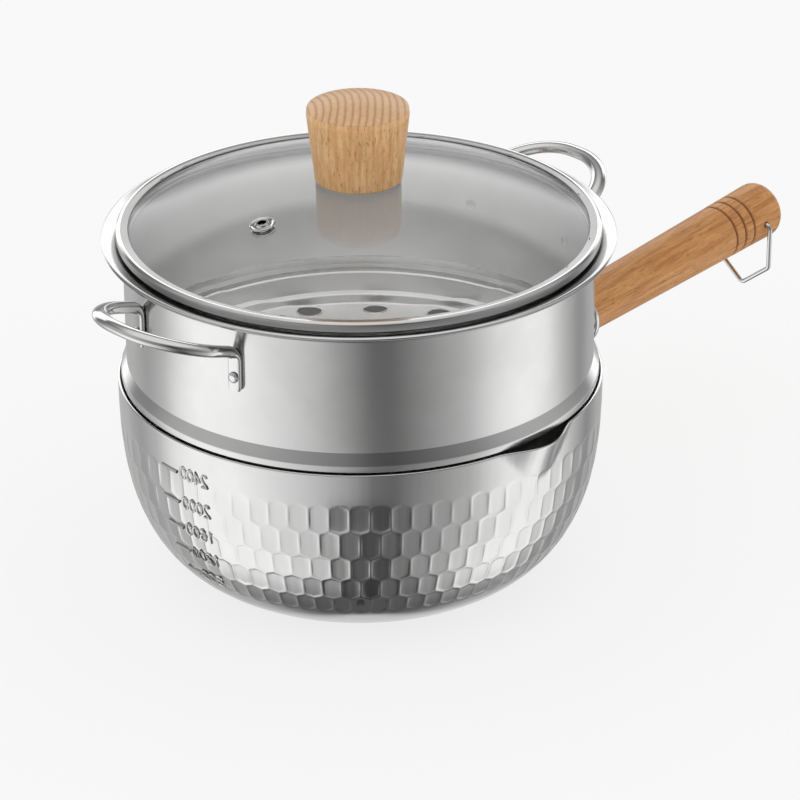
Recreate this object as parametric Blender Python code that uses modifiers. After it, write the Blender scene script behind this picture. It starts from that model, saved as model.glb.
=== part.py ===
"""Ramen pot: hammered bowl with two spouts, wooden handle, steamer insert and glass lid."""

import math

import bmesh
import bpy
from mathutils import Matrix, Vector

# Sizes are in millimetres. The origin is the middle of the bowl's flat base, +Z is up and +X
# runs along the handle. A height is from the table, a depth is from the bowl's rim downwards.
MM = 0.001
TURN = math.tau
FIT = 0.3
WELD = 0.001

# Bowl
BOWL_RADIUS = 110.0
BOWL_HEIGHT = 95.0
BOWL_BASE_RADIUS = 58.0
BOWL_SHEET = 1.2
BOWL_WALL_POWER = 2.8
BOWL_CORNER_POWER = 2.1
SMOOTH_BAND_DEPTH = 15.3
FACETS_BOTTOM_DEPTH = 75.1
FACET_ROW_SHARES = (0.0, 0.22, 0.445, 0.645, 0.84, 1.0)
FACET_COLUMNS = 76
INNER_SHARES = (0.0, 0.055, 0.11, 0.22, 0.46, 0.68, 0.84, 0.94, 0.985, 1.0)
FACET_DENT = 0.35
FACET_TIP = 1.3
SPOUT_REACH = 6.5
SPOUT_HALF_WIDTH = 24.0
SPOUT_DEPTH = 20.0
SPOUT_TIP_SHARE = 0.12

# Handle: steel socket, wood and hanging ring, all on one tilted axis
HANDLE_DROP = 27.0
HANDLE_TILT = math.radians(4.5)
SOCKET_LENGTH = 40.0
SOCKET_SHEET = 1.2
SOCKET_FLARE = 2.2
SOCKET_FLARE_LENGTH = 9.0
SOCKET_BEAD = 1.7
SOCKET_FLOOR = 4.0
PLATE_HALF_WIDTH = 26.0
PLATE_HALF_HEIGHT = 17.5
PLATE_SHEET = 1.5
WOOD_LENGTH = 143.0
WOOD_TANG = 31.0
WOOD_ROOT_RADIUS = 11.8
WOOD_END_RADIUS = 14.2
WOOD_END_ROUND = 5.5
GROOVE_FROM_END = 25.2
GROOVE_PITCH = 7.0
GROOVE_HALF_WIDTH = 0.8
GROOVE_DEPTH = 0.8
RING_HOLE_FROM_END = 16.2
RING_HOLE_RADIUS = 1.55
RING_WIRE_RADIUS = 1.15
RING_LEG = 23.6
RING_POINT = 13.0
RING_SIDE_GAP = 1.1
RING_TONGUE = 8.0
RING_BEND = 2.6
SCREW_RADIUS = 1.2
SCREW_HEAD_RADIUS = 2.6
SCREW_HEAD = 1.3
SCREW_LENGTH = 9.0
SCREW_FROM_MOUTH = 11.0

# Steamer insert
STEAMER_SHEET = 0.8
STEAMER_INSET = 5.0
STEAMER_RISE = 67.8
FLANGE_REACH = 10.2
THROAT_DROP = 2.9
THROAT_ROUND = 1.0
HEM = 2.4
SHOULDER_HEIGHT = 7.6
SHOULDER_BULGE = 4.6
NECK_GAP = 5.2
NECK_DROP = 9.0
FLOOR_STEP = 2.9
FLOOR_DROP = 14.3
HOLE_RADIUS = 5.7
HOLE_COUNTS = (18, 12, 6)
HOLE_RING_SHARES = (0.911, 0.711, 0.42)
STEAMER_COLUMNS = 56

# Loop handles on the steamer: a bent rod with flattened ends
LOOP_TURN = math.radians(-2.4)
LOOP_ROD_RADIUS = 2.7
LOOP_STANDOUT = 32.8
LOOP_HALF_SPREAD = 31.5
LOOP_CORNER = 29.0
LOOP_SLOPE = 0.352
LOOP_BELOW_FLANGE = 14.0
LUG_LENGTH = 20.5
LUG_SHEET = 2.2
LUG_HALF_WIDTH = 3.3
LUG_BEND = 4.5

# Rivets
RIVET_SHANK_RADIUS = 1.5
RIVET_HEAD_RADIUS = 2.7
RIVET_HEAD = 1.1
LUG_RIVET_UP = 6.5
PLATE_RIVET_SIDE = 20.5
PLATE_RIVET_HEAD_RADIUS = 3.8

# Lid
BAND_INSET = 6.7
BAND_SHEET = 0.5
BAND_LIP = 4.3
BAND_SINK = 0.7
SEAT_DROP = 3.0
SKIRT_GAP = 0.9
SKIRT_DROP = 2.2
GLASS_SHEET = 2.5
GLASS_RIM = 4.6
GLASS_DOME = 21.6
GLASS_HOLE_RADIUS = 4.0
LID_COLUMNS = 40
VENT_FROM_RIM = 47.0
VENT_TURN = math.radians(176.0)
VENT_FLANGE_RADIUS = 5.7
VENT_TUBE_RADIUS = 3.2
VENT_BORE_RADIUS = 2.0
VENT_HEIGHT = 1.4

# Knob and what holds it
KNOB_BASE_RADIUS = 19.1
KNOB_TOP_RADIUS = 22.9
KNOB_SIDE_HEIGHT = 31.6
KNOB_DOME = 7.0
KNOB_EDGE = 1.6
KNOB_BORE_RADIUS = 2.8
KNOB_BORE = 20.0
GASKET_RADIUS = 8.5
GASKET = 1.0
WASHER_RADIUS = 9.5
WASHER = 1.0
KNOB_SCREW_RADIUS = 2.4
KNOB_SCREW_HEAD_RADIUS = 4.6
KNOB_SCREW_HEAD = 2.4
KNOB_SCREW_REACH = 14.0

# Sizes that follow from those above
STEAMER_INNER_RADIUS = BOWL_RADIUS - STEAMER_INSET
WALL_RADIUS = STEAMER_INNER_RADIUS + STEAMER_SHEET
FLANGE_RADIUS = STEAMER_INNER_RADIUS + FLANGE_REACH
NECK_RADIUS = BOWL_RADIUS - BOWL_SHEET - NECK_GAP - STEAMER_SHEET
FLOOR_RADIUS = NECK_RADIUS - FLOOR_STEP
LOOP_REACH = WALL_RADIUS + LOOP_STANDOUT
LOOP_RISE = STEAMER_RISE - LOOP_BELOW_FLANGE
LUG_RISE = LOOP_RISE - LUG_LENGTH
BAND_RADIUS = FLANGE_RADIUS - BAND_INSET
SKIRT_RADIUS = STEAMER_INNER_RADIUS - SKIRT_GAP - BAND_SHEET
STEAMER_SEAT = FIT + STEAMER_SHEET
FLANGE_TOP = BOWL_HEIGHT + STEAMER_RISE
BAND_BOTTOM = FLANGE_TOP - BAND_SINK
GLASS_RIM_BOTTOM = BAND_BOTTOM + BAND_SHEET + FIT
GLASS_RIM_TOP = GLASS_RIM_BOTTOM + GLASS_SHEET
BAND_TOP = GLASS_RIM_TOP + FIT + BAND_SHEET
GLASS_RADIUS = BAND_RADIUS - BAND_SHEET - FIT
GLASS_DOME_RADIUS = GLASS_RADIUS - GLASS_RIM
GLASS_TOP = GLASS_RIM_TOP + GLASS_DOME
GLASS_BALL = (GLASS_DOME_RADIUS**2 + GLASS_DOME**2) / (2 * GLASS_DOME)
KNOB_BOTTOM = GLASS_TOP + FIT
VENT_RADIUS = GLASS_DOME_RADIUS - VENT_FROM_RIM
PLATE_DRILL = 4 * (PLATE_SHEET + BOWL_SHEET)
LUG_DRILL = 4 * LUG_SHEET
VENT_DRILL = 4 * GLASS_SHEET


def bowl_radius(depth, sheet=0.0):
    """Radius of the bowl at a depth under its rim: a wall that rounds over into the base.

    With the sheet's thickness it is the inner face, else the outer one.
    """
    share = min(max(depth / (BOWL_HEIGHT - sheet), 0.0), 1.0)
    bend = (1 - share**BOWL_WALL_POWER) ** (1 / BOWL_CORNER_POWER)
    return BOWL_BASE_RADIUS + (BOWL_RADIUS - sheet - BOWL_BASE_RADIUS) * bend


def wall_outward(angle, depth):
    """The direction square to the bowl's wall, at an angle round it and a depth."""
    lean = bowl_radius(depth + BOWL_SHEET) - bowl_radius(depth - BOWL_SHEET)
    return Vector((math.cos(angle), math.sin(angle), lean / (2 * BOWL_SHEET))).normalized()


def spout_reach(angle, depth):
    """How far a pouring spout pushes the wall out: a shallow pyramid that ends at the rim."""
    aside = abs(abs(angle) - TURN / 4) * BOWL_RADIUS / SPOUT_HALF_WIDTH
    rounded = math.hypot(aside, SPOUT_TIP_SHARE) - SPOUT_TIP_SHARE
    return SPOUT_REACH * max(0.0, 1 - depth / SPOUT_DEPTH - rounded)


def glass_height(radius):
    """Height of the glass dome's upper face at a distance from the middle."""
    return GLASS_TOP - GLASS_BALL + math.sqrt(GLASS_BALL**2 - radius**2)


def arc(middle, radius, start, end, steps):
    """Points of an arc in the profile plane, angles in degrees from the outward direction."""
    points = []
    for step in range(steps + 1):
        angle = math.radians(start + (end - start) * step / steps)
        points.append((middle[0] + radius * math.cos(angle), middle[1] + radius * math.sin(angle)))
    return points


def make_material(name, colour, roughness, metallic):
    material = bpy.data.materials.new(name)
    material.use_nodes = True
    shader = material.node_tree.nodes["Principled BSDF"]
    shader.inputs["Base Color"].default_value = (*colour, 1.0)
    shader.inputs["Roughness"].default_value = roughness
    shader.inputs["Metallic"].default_value = metallic
    return material


def clear_scene():
    for thing in list(bpy.data.objects):
        bpy.data.objects.remove(thing, do_unlink=True)


clear_scene()
parts = bpy.data.collections.new("Ramen pot")
tools = bpy.data.collections.new("Cutters")
bpy.context.scene.collection.children.link(parts)
bpy.context.scene.collection.children.link(tools)

POLISHED_STEEL = make_material("Polished steel", (0.62, 0.62, 0.61), 0.16, 1.0)
BRUSHED_STEEL = make_material("Brushed steel", (0.60, 0.60, 0.59), 0.26, 1.0)
CHROMED_WIRE = make_material("Chromed wire", (0.66, 0.66, 0.66), 0.08, 1.0)
BEECH = make_material("Beech wood", (0.63, 0.40, 0.21), 0.48, 0.0)
GLASS = make_material("Tempered glass", (0.72, 0.74, 0.74), 0.04, 0.0)
SILICONE = make_material("Silicone", (0.05, 0.05, 0.05), 0.6, 0.0)


def add(name, mesh, material, parent=None, collection=None):
    """A named object that holds a mesh."""
    thing = bpy.data.objects.new(name, mesh)
    (collection or parts).objects.link(thing)
    if material:
        mesh.materials.append(material)
    thing.parent = parent
    if collection is tools:
        thing.hide_render = True
        thing.display_type = "WIRE"
    return thing


def smooth(mesh, degrees=35):
    mesh.shade_smooth()
    mesh.set_sharp_from_angle(angle=math.radians(degrees))


def mesh_from(build, name):
    """A mesh in metres from a builder that works in millimetres."""
    mesh = bpy.data.meshes.new(name)
    bmesh.ops.recalc_face_normals(build, faces=build.faces)
    bmesh.ops.scale(build, vec=Vector((MM, MM, MM)), verts=build.verts)
    build.to_mesh(mesh)
    build.free()
    smooth(mesh)
    return mesh


def spin_profile(build, profile, columns):
    """Turns a profile once round Z in the builder."""
    corners = [build.verts.new((radius, 0, height)) for radius, height in profile]
    edges = [build.edges.new(pair) for pair in zip(corners, corners[1:])]
    bmesh.ops.spin(
        build,
        geom=corners + edges,
        cent=(0, 0, 0),
        axis=(0, 0, 1),
        angle=TURN,
        steps=columns,
        use_merge=True,
    )
    bmesh.ops.remove_doubles(build, verts=build.verts, dist=WELD)


def turned(name, profile, columns, material, closed=False, place=None, parent=None, collection=None):
    """A turned solid. Its profile ends on the axis, or runs round a ring when it is closed."""
    build = bmesh.new()
    outline = list(profile) + ([profile[0]] if closed else [])
    spin_profile(build, outline, columns)
    bmesh.ops.transform(build, matrix=place or Matrix(), verts=build.verts)
    return add(name, mesh_from(build, name), material, parent, collection)


def tube_mesh(name, path, radius, resolution):
    """A round bar along a path with capped ends."""
    curve = bpy.data.curves.new(name, "CURVE")
    curve.dimensions = "3D"
    curve.bevel_depth = radius * MM
    curve.bevel_resolution = resolution
    curve.use_fill_caps = True
    spline = curve.splines.new("POLY")
    spline.points.add(len(path) - 1)
    for point, place in zip(spline.points, path):
        point.co = (*(Vector(place) * MM), 1.0)
    guide = bpy.data.objects.new(name, curve)
    bpy.context.scene.collection.objects.link(guide)
    graph = bpy.context.evaluated_depsgraph_get()
    mesh = bpy.data.meshes.new_from_object(guide.evaluated_get(graph))
    bpy.data.objects.remove(guide, do_unlink=True)
    bpy.data.curves.remove(curve)
    build = bmesh.new()
    build.from_mesh(mesh)
    bmesh.ops.remove_doubles(build, verts=build.verts, dist=WELD * MM)
    bmesh.ops.recalc_face_normals(build, faces=build.faces)
    build.to_mesh(mesh)
    build.free()
    smooth(mesh, 50)
    return mesh


def rounded_path(corners, radius, steps):
    """A path through its corners with each inner corner turned as an arc of the radius."""
    corners = [Vector(corner) for corner in corners]
    path = [corners[0]]
    for before, corner, after in zip(corners, corners[1:], corners[2:]):
        back = (before - corner).normalized()
        on = (after - corner).normalized()
        half = back.angle(on) / 2
        middle = corner + (back + on).normalized() * radius / math.sin(half)
        first = corner + back * radius / math.tan(half) - middle
        last = corner + on * radius / math.tan(half) - middle
        for step in range(steps + 1):
            path.append(middle + first.slerp(last, step / steps).normalized() * radius)
    path.append(corners[-1])
    return path


def cut(target, cutter, operation="DIFFERENCE"):
    modifier = target.modifiers.new(cutter.name, "BOOLEAN")
    modifier.operation = operation
    modifier.object = cutter
    modifier.solver = "EXACT"


def drill(name, target, place, radius, length):
    """A round hole through a piece, along the local Z of its place."""
    half = length / 2
    profile = [(0, half), (radius, half), (radius, -half), (0, -half)]
    cutter = turned(name, profile, 12, None, place=place, collection=tools)
    cut(target, cutter)
    return cutter


def facing(place, direction):
    """A placement at a point with its local Z along a direction."""
    turn = Vector(direction).to_track_quat("Z", "Y").to_matrix().to_4x4()
    return Matrix.Translation(Vector(place)) @ turn


def rivet(name, place, grip, head_radius, parent=None):
    """A rivet with a low round head outside and a flat one inside; its place is the outer face."""
    crown = head_radius * 0.6
    profile = [
        (0, RIVET_HEAD + FIT),
        (crown, RIVET_HEAD * 0.85 + FIT),
        (head_radius, FIT),
        (RIVET_SHANK_RADIUS, FIT),
        (RIVET_SHANK_RADIUS, -grip - FIT),
        (head_radius, -grip - FIT),
        (crown, -grip - FIT - RIVET_HEAD * 0.85),
        (0, -grip - FIT - RIVET_HEAD),
    ]
    return turned(name, profile, 10, POLISHED_STEEL, place=place, parent=parent)


# Bowl
def bowl_profile():
    """The closed outline of the bowl, base to rim to floor, and where its facet rows lie in it."""
    span = FACETS_BOTTOM_DEPTH - SMOOTH_BAND_DEPTH
    depths = [BOWL_HEIGHT, (FACETS_BOTTOM_DEPTH + BOWL_HEIGHT) / 2]
    depths += [SMOOTH_BAND_DEPTH + span * share for share in reversed(FACET_ROW_SHARES)]
    depths += [SMOOTH_BAND_DEPTH * share for share in (0.67, 0.33, 0.0)]
    inner_depths = [(BOWL_HEIGHT - BOWL_SHEET) * share for share in INNER_SHARES]
    profile = [(0, 0)]
    profile += [(bowl_radius(depth), BOWL_HEIGHT - depth) for depth in depths]
    profile += [(bowl_radius(depth, BOWL_SHEET), BOWL_HEIGHT - depth) for depth in inner_depths]
    profile.append((0, BOWL_SHEET))
    return profile, range(3, 3 + len(FACET_ROW_SHARES))


def find_spots(build, profile, columns):
    """The builder's points by their row in the profile and their column round the axis."""
    spots = {}
    for vert in build.verts:
        radius = vert.co.xy.length
        misses = [math.hypot(radius - place[0], vert.co.z - place[1]) for place in profile]
        row = misses.index(min(misses))
        column = round(math.atan2(vert.co.y, vert.co.x) / TURN * columns) % columns
        spots[(row, column)] = vert
    return spots


def hammer(build, spots, facet_rows, columns):
    """Folds spare columns away and makes rows of long six-sided cells, each dented."""
    folded = {}
    for (row, column), vert in spots.items():
        if row in facet_rows:
            tip = FACET_TIP if column % 2 == row % 2 else -FACET_TIP
            depth = BOWL_HEIGHT - vert.co.z + tip
            outward = vert.co.xy.normalized() * bowl_radius(depth)
            vert.co = (outward.x, outward.y, BOWL_HEIGHT - depth)
        elif column % 2:
            folded[vert] = spots[(row, column - 1)]
    middles = []
    for row in facet_rows[:-1]:
        for column in range(row % 2, columns, 2):
            middles.append(build.edges.get((spots[(row, column)], spots[(row + 1, column)])))
    bmesh.ops.weld_verts(build, targetmap=folded)
    bmesh.ops.dissolve_edges(build, edges=middles, use_verts=False)
    bmesh.ops.recalc_face_normals(build, faces=build.faces)
    cells = [face for face in build.faces if len(face.verts) == 6]
    bmesh.ops.poke(build, faces=cells, offset=-FACET_DENT, center_mode="MEAN")


def push_spouts(build):
    for vert in build.verts:
        reach = spout_reach(math.atan2(vert.co.y, vert.co.x), BOWL_HEIGHT - vert.co.z)
        if reach:
            vert.co.xy += vert.co.xy.normalized() * reach


def make_bowl():
    build = bmesh.new()
    columns = FACET_COLUMNS * 2
    profile, facet_rows = bowl_profile()
    spin_profile(build, profile, columns)
    hammer(build, find_spots(build, profile, columns), facet_rows, columns)
    push_spouts(build)
    return add("bowl", mesh_from(build, "bowl"), BRUSHED_STEEL)


def bowl_envelope(name, gap):
    """A solid that fills the bowl and a gap round it, to fit pieces against the wall."""
    rings = [BOWL_HEIGHT * step / 16 for step in range(17)]
    profile = [(0, BOWL_HEIGHT)]
    profile += [(bowl_radius(depth) + gap, BOWL_HEIGHT - depth) for depth in rings]
    profile.append((0, 0))
    return turned(name, profile, FACET_COLUMNS, None, collection=tools)


# Handle
def handle_place(along=0.0):
    """A placement on the handle's axis with its local Z pointing away from the bowl."""
    start = Vector((bowl_radius(HANDLE_DROP), 0, BOWL_HEIGHT - HANDLE_DROP))
    direction = Vector((math.cos(HANDLE_TILT), 0, math.sin(HANDLE_TILT)))
    turn = Matrix.Rotation(TURN / 4 - HANDLE_TILT, 4, "Y")
    return Matrix.Translation(start + direction * along) @ turn


def plate_rivet_place(side):
    """The spot of a socket rivet on the plate's outer face."""
    angle = side * PLATE_RIVET_SIDE / BOWL_RADIUS
    outward = wall_outward(angle, HANDLE_DROP)
    spot = Matrix.Rotation(angle, 4, "Z") @ Vector((bowl_radius(HANDLE_DROP), 0, 0))
    spot.z = BOWL_HEIGHT - HANDLE_DROP
    return facing(spot + outward * (FIT + PLATE_SHEET), outward)


def make_socket():
    """The steel socket: a riveted plate that hugs the bowl and a tube that takes the wood."""
    bore = WOOD_ROOT_RADIUS + FIT
    outer = bore + SOCKET_SHEET
    bead = (outer + SOCKET_BEAD * 0.1, SOCKET_LENGTH - SOCKET_BEAD)
    profile = [
        (0, -WOOD_END_ROUND),
        (outer + SOCKET_FLARE, -WOOD_END_ROUND),
        (outer + SOCKET_FLARE, PLATE_SHEET),
        (outer + SOCKET_FLARE * 0.3, SOCKET_FLARE_LENGTH * 0.45),
        (outer, SOCKET_FLARE_LENGTH),
        (outer, SOCKET_LENGTH - 2 * SOCKET_BEAD),
        *arc(bead, SOCKET_BEAD, -60, 90, 4),
        (bore, SOCKET_LENGTH - SOCKET_BEAD * 0.4),
        (bore, SOCKET_FLOOR),
        (0, SOCKET_FLOOR),
    ]
    socket = turned("handle_socket", profile[::-1], 20, POLISHED_STEEL, place=handle_place())
    plate = make_plate()
    cut(socket, plate, "UNION")
    cut(socket, bowl_envelope("bowl_and_gap", FIT))
    for side in (-1, 1):
        place = plate_rivet_place(side)
        drill(f"plate_hole_{side}", socket, place, RIVET_SHANK_RADIUS + FIT, PLATE_DRILL)
    return socket


def make_plate():
    """The plate as an oval block, shaved to the bowl's curve plus the sheet."""
    across = BOWL_RADIUS * 0.3
    profile = [(0, across), (1, across), (1, -across), (0, -across)]
    lie = Matrix.Rotation(TURN / 4, 4, "Y")
    oval = Matrix.Diagonal((PLATE_HALF_HEIGHT, PLATE_HALF_WIDTH, 1, 1))
    middle = Matrix.Translation((BOWL_RADIUS, 0, BOWL_HEIGHT - HANDLE_DROP))
    block = turned("plate_block", profile, 28, None, place=middle @ lie @ oval, collection=tools)
    cut(block, bowl_envelope("bowl_and_plate", FIT + PLATE_SHEET), "INTERSECT")
    return block


def make_wood():
    """The turned beech handle with its tang, three grooves and a rounded end."""
    end = SOCKET_LENGTH + WOOD_LENGTH
    taper = (WOOD_END_RADIUS - WOOD_ROOT_RADIUS) / (WOOD_LENGTH - WOOD_END_ROUND)
    profile = [(0, SOCKET_LENGTH - WOOD_TANG), (WOOD_ROOT_RADIUS, SOCKET_LENGTH - WOOD_TANG)]
    profile.append((WOOD_ROOT_RADIUS, SOCKET_LENGTH))
    for groove in (2, 1, 0):
        middle = end - GROOVE_FROM_END - GROOVE_PITCH * groove
        for step, depth in ((-GROOVE_HALF_WIDTH, 0), (0, GROOVE_DEPTH), (GROOVE_HALF_WIDTH, 0)):
            radius = WOOD_ROOT_RADIUS + taper * (middle + step - SOCKET_LENGTH) - depth
            profile.append((radius, middle + step))
    corner = (WOOD_END_RADIUS - WOOD_END_ROUND, end - WOOD_END_ROUND)
    profile += arc(corner, WOOD_END_ROUND, 0, 80, 4)
    profile.append((0, end))
    wood = turned("wooden_handle", profile[::-1], 20, BEECH, place=handle_place())
    across = Matrix.Rotation(TURN / 4, 4, "X")
    drill("ring_hole", wood, ring_place() @ across, RING_HOLE_RADIUS, 4 * WOOD_END_RADIUS)
    drill("pilot_hole", wood, screw_place(), SCREW_RADIUS + FIT, 2 * SCREW_LENGTH + FIT)
    return wood


def ring_place():
    """The middle of the cross hole, where the hanging ring turns."""
    spot = handle_place(SOCKET_LENGTH + WOOD_LENGTH - RING_HOLE_FROM_END).to_translation()
    return Matrix.Translation(spot)


def make_ring():
    """The hanging ring: a wire loop with a pointed foot, its ends turned into the cross hole."""
    side = WOOD_END_RADIUS + RING_SIDE_GAP + RING_WIRE_RADIUS
    tongue = side - RING_TONGUE
    corners = [
        (0, -tongue, 0),
        (0, -side, 0),
        (0, -side, -RING_LEG),
        (0, 0, -RING_LEG - RING_POINT),
        (0, side, -RING_LEG),
        (0, side, 0),
        (0, tongue, 0),
    ]
    path = rounded_path(corners, RING_BEND, 3)
    mesh = tube_mesh("hanging_ring", path, RING_WIRE_RADIUS, 1)
    ring = add("hanging_ring", mesh, CHROMED_WIRE)
    ring.location = ring_place().to_translation() * MM
    return ring


def screw_place():
    """Under the socket, with local Z pointing straight into the wood from below."""
    place = handle_place(SOCKET_LENGTH - SCREW_FROM_MOUTH)
    radius = WOOD_ROOT_RADIUS + FIT + SOCKET_SHEET
    return place @ Matrix.Translation((radius, 0, 0)) @ Matrix.Rotation(-TURN / 4, 4, "Y")


def make_handle_screw(socket):
    """The short screw that keeps the wood in its socket."""
    profile = [
        (0, SCREW_LENGTH),
        (SCREW_RADIUS * 0.5, SCREW_LENGTH - SCREW_RADIUS),
        (SCREW_RADIUS, SCREW_LENGTH - 2 * SCREW_RADIUS),
        (SCREW_RADIUS, -FIT),
        (SCREW_HEAD_RADIUS, -FIT),
        (SCREW_HEAD_RADIUS * 0.8, -FIT - SCREW_HEAD * 0.8),
        (0, -FIT - SCREW_HEAD),
    ]
    drill("screw_hole", socket, screw_place(), SCREW_RADIUS + FIT, 4 * SOCKET_SHEET)
    return turned("handle_screw", profile, 10, POLISHED_STEEL, place=screw_place())


# Steamer
def steamer_profile():
    """The upper and inner face of the steamer's sheet, from the hem to the middle of the floor."""
    top = STEAMER_RISE
    low = top - HEM
    throat = top - THROAT_DROP
    wall = STEAMER_INNER_RADIUS
    edge = FLANGE_RADIUS
    bulge = wall + SHOULDER_BULGE
    seat = STEAMER_SEAT
    rows = [
        (edge - HEM, low),
        (edge - HEM * 0.3, low),
        (edge, top - HEM * 0.5),
        (edge - HEM * 0.3, top),
        (edge - HEM, top - HEM * 0.15),
        (wall + THROAT_ROUND, throat + THROAT_ROUND / 3),
        (wall, throat - THROAT_ROUND),
        (wall, SHOULDER_HEIGHT),
        (wall + SHOULDER_BULGE * 0.6, SHOULDER_HEIGHT * 0.88),
        (bulge, SHOULDER_HEIGHT * 0.6),
        (bulge, SHOULDER_HEIGHT * 0.34),
        (bulge - SHOULDER_BULGE * 0.3, seat),
        (NECK_RADIUS + STEAMER_SHEET, seat),
        (NECK_RADIUS, -STEAMER_SHEET),
        (NECK_RADIUS - FIT, -NECK_DROP),
        (FLOOR_RADIUS + FIT, -NECK_DROP - STEAMER_SHEET),
        (FLOOR_RADIUS, -FLOOR_DROP + STEAMER_SHEET * 1.4),
        (FLOOR_RADIUS - STEAMER_SHEET * 1.6, -FLOOR_DROP),
        (0, -FLOOR_DROP),
    ]
    return [(radius, BOWL_HEIGHT + height) for radius, height in rows]


def make_steamer():
    build = bmesh.new()
    spin_profile(build, steamer_profile(), STEAMER_COLUMNS)
    mesh = mesh_from(build, "steamer_insert")
    steamer = add("steamer_insert", mesh, BRUSHED_STEEL)
    shell = steamer.modifiers.new("Sheet", "SOLIDIFY")
    shell.thickness = STEAMER_SHEET * MM
    shell.offset = -1 if floor_faces_up(mesh) else 1
    shell.use_even_offset = True
    cut(steamer, steam_holes())
    return steamer


def floor_faces_up(mesh):
    """Whether the floor's faces point up, so that the sheet has to grow against them."""
    floor = min(mesh.polygons, key=lambda face: face.center.z)
    return floor.normal.z > 0


def steam_holes():
    """All the holes of the floor as one cutter: rings of short round bars."""
    build = bmesh.new()
    height = BOWL_HEIGHT - FLOOR_DROP
    for count, share in zip(HOLE_COUNTS, HOLE_RING_SHARES):
        for index in range(count):
            angle = TURN * index / count
            spot = Vector((math.cos(angle), math.sin(angle), 0)) * FLOOR_RADIUS * share
            spot.z = height
            bmesh.ops.create_cone(
                build,
                cap_ends=True,
                segments=10,
                radius1=HOLE_RADIUS,
                radius2=HOLE_RADIUS,
                depth=STEAMER_SHEET * 6,
                matrix=Matrix.Translation(spot),
            )
    return add("steam_holes", mesh_from(build, "steam_holes"), None, collection=tools)


def loop_lug_angle():
    return math.asin(LOOP_HALF_SPREAD / (WALL_RADIUS + LUG_SHEET))


def loop_path():
    """The middle line of a loop that reaches out along +X, from one lug's foot to the other."""
    angle = loop_lug_angle()
    radius = WALL_RADIUS + FIT + LUG_SHEET / 2
    lug_x = radius * math.cos(angle)
    lug_y = radius * math.sin(angle)
    low = LUG_RISE

    def sloped(x):
        return LOOP_RISE + LOOP_SLOPE * (x - WALL_RADIUS)

    half = [
        Vector((lug_x, lug_y, low)),
        Vector((lug_x, lug_y, low + (sloped(lug_x) - low) * 0.35)),
    ]
    bend_foot = Vector((lug_x, lug_y, sloped(lug_x) - LUG_BEND))
    bend_top = Vector((lug_x + LUG_BEND, lug_y, sloped(lug_x + LUG_BEND)))
    knee = Vector((lug_x, lug_y, sloped(lug_x)))
    for share in (0.0, 0.33, 0.67, 1.0):
        half.append(bend_foot.lerp(knee, share).lerp(knee.lerp(bend_top, share), share))
    corner_x = LOOP_REACH - LOOP_CORNER
    corner_y = lug_y - LOOP_CORNER
    for step in range(7):
        turn = TURN / 4 * (1 - step / 6)
        x = corner_x + LOOP_CORNER * math.cos(turn)
        y = corner_y + LOOP_CORNER * math.sin(turn)
        half.append(Vector((x, y, sloped(x))))
    other = [Vector((point.x, -point.y, point.z)) for point in reversed(half)]
    return [point + Vector((0, 0, BOWL_HEIGHT)) for point in half + other]


def flatten_lug(co):
    """Presses the rod's ends flat against the wall, wider and thinner with a rounded foot."""
    knee = BOWL_HEIGHT + LOOP_RISE
    share = min(max((knee - co.z) / LUG_BEND, 0.0), 1.0)
    side = math.copysign(1.0, co.y)
    angle = math.atan2(co.y, co.x)
    lug_angle = side * loop_lug_angle()
    middle = WALL_RADIUS + FIT + LUG_SHEET / 2
    radius = co.xy.length
    foot = min(max((co.z - BOWL_HEIGHT - LUG_RISE) / LUG_HALF_WIDTH, 0.0), 1.0)
    width = (LUG_HALF_WIDTH / LOOP_ROD_RADIUS) * (0.55 + 0.45 * math.sqrt(foot))
    thin = LUG_SHEET / 2 / LOOP_ROD_RADIUS
    pressed = middle + (radius - middle) * thin
    spread = lug_angle + (angle - lug_angle) * width
    new_radius = max(radius + (pressed - radius) * share, WALL_RADIUS + FIT)
    new_angle = angle + (spread - angle) * share
    return Vector((new_radius * math.cos(new_angle), new_radius * math.sin(new_angle), co.z))


def make_loop(name, turn, steamer):
    mesh = tube_mesh(name, loop_path(), LOOP_ROD_RADIUS, 1)
    for vert in mesh.vertices:
        co = vert.co / MM
        if co.xy.length < WALL_RADIUS + LUG_SHEET + LOOP_ROD_RADIUS:
            vert.co = flatten_lug(co) * MM
    mesh.transform(Matrix.Rotation(turn, 4, "Z"))
    smooth(mesh, 50)
    loop = add(name, mesh, POLISHED_STEEL, steamer)
    grip = LUG_SHEET + FIT + STEAMER_SHEET
    for side in (-1, 1):
        angle = turn + side * loop_lug_angle()
        outward = Vector((math.cos(angle), math.sin(angle), 0))
        radius = WALL_RADIUS + FIT + LUG_SHEET
        spot = outward * radius + Vector((0, 0, BOWL_HEIGHT + LUG_RISE + LUG_RIVET_UP))
        place = facing(spot, outward)
        which = "left" if side < 0 else "right"
        hole = drill(f"{name}_hole_{which}", loop, place, RIVET_SHANK_RADIUS + FIT, LUG_DRILL)
        cut(steamer, hole)
        rivet(f"{name}_rivet_{which}", place, grip, RIVET_HEAD_RADIUS, steamer)
    return loop


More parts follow.
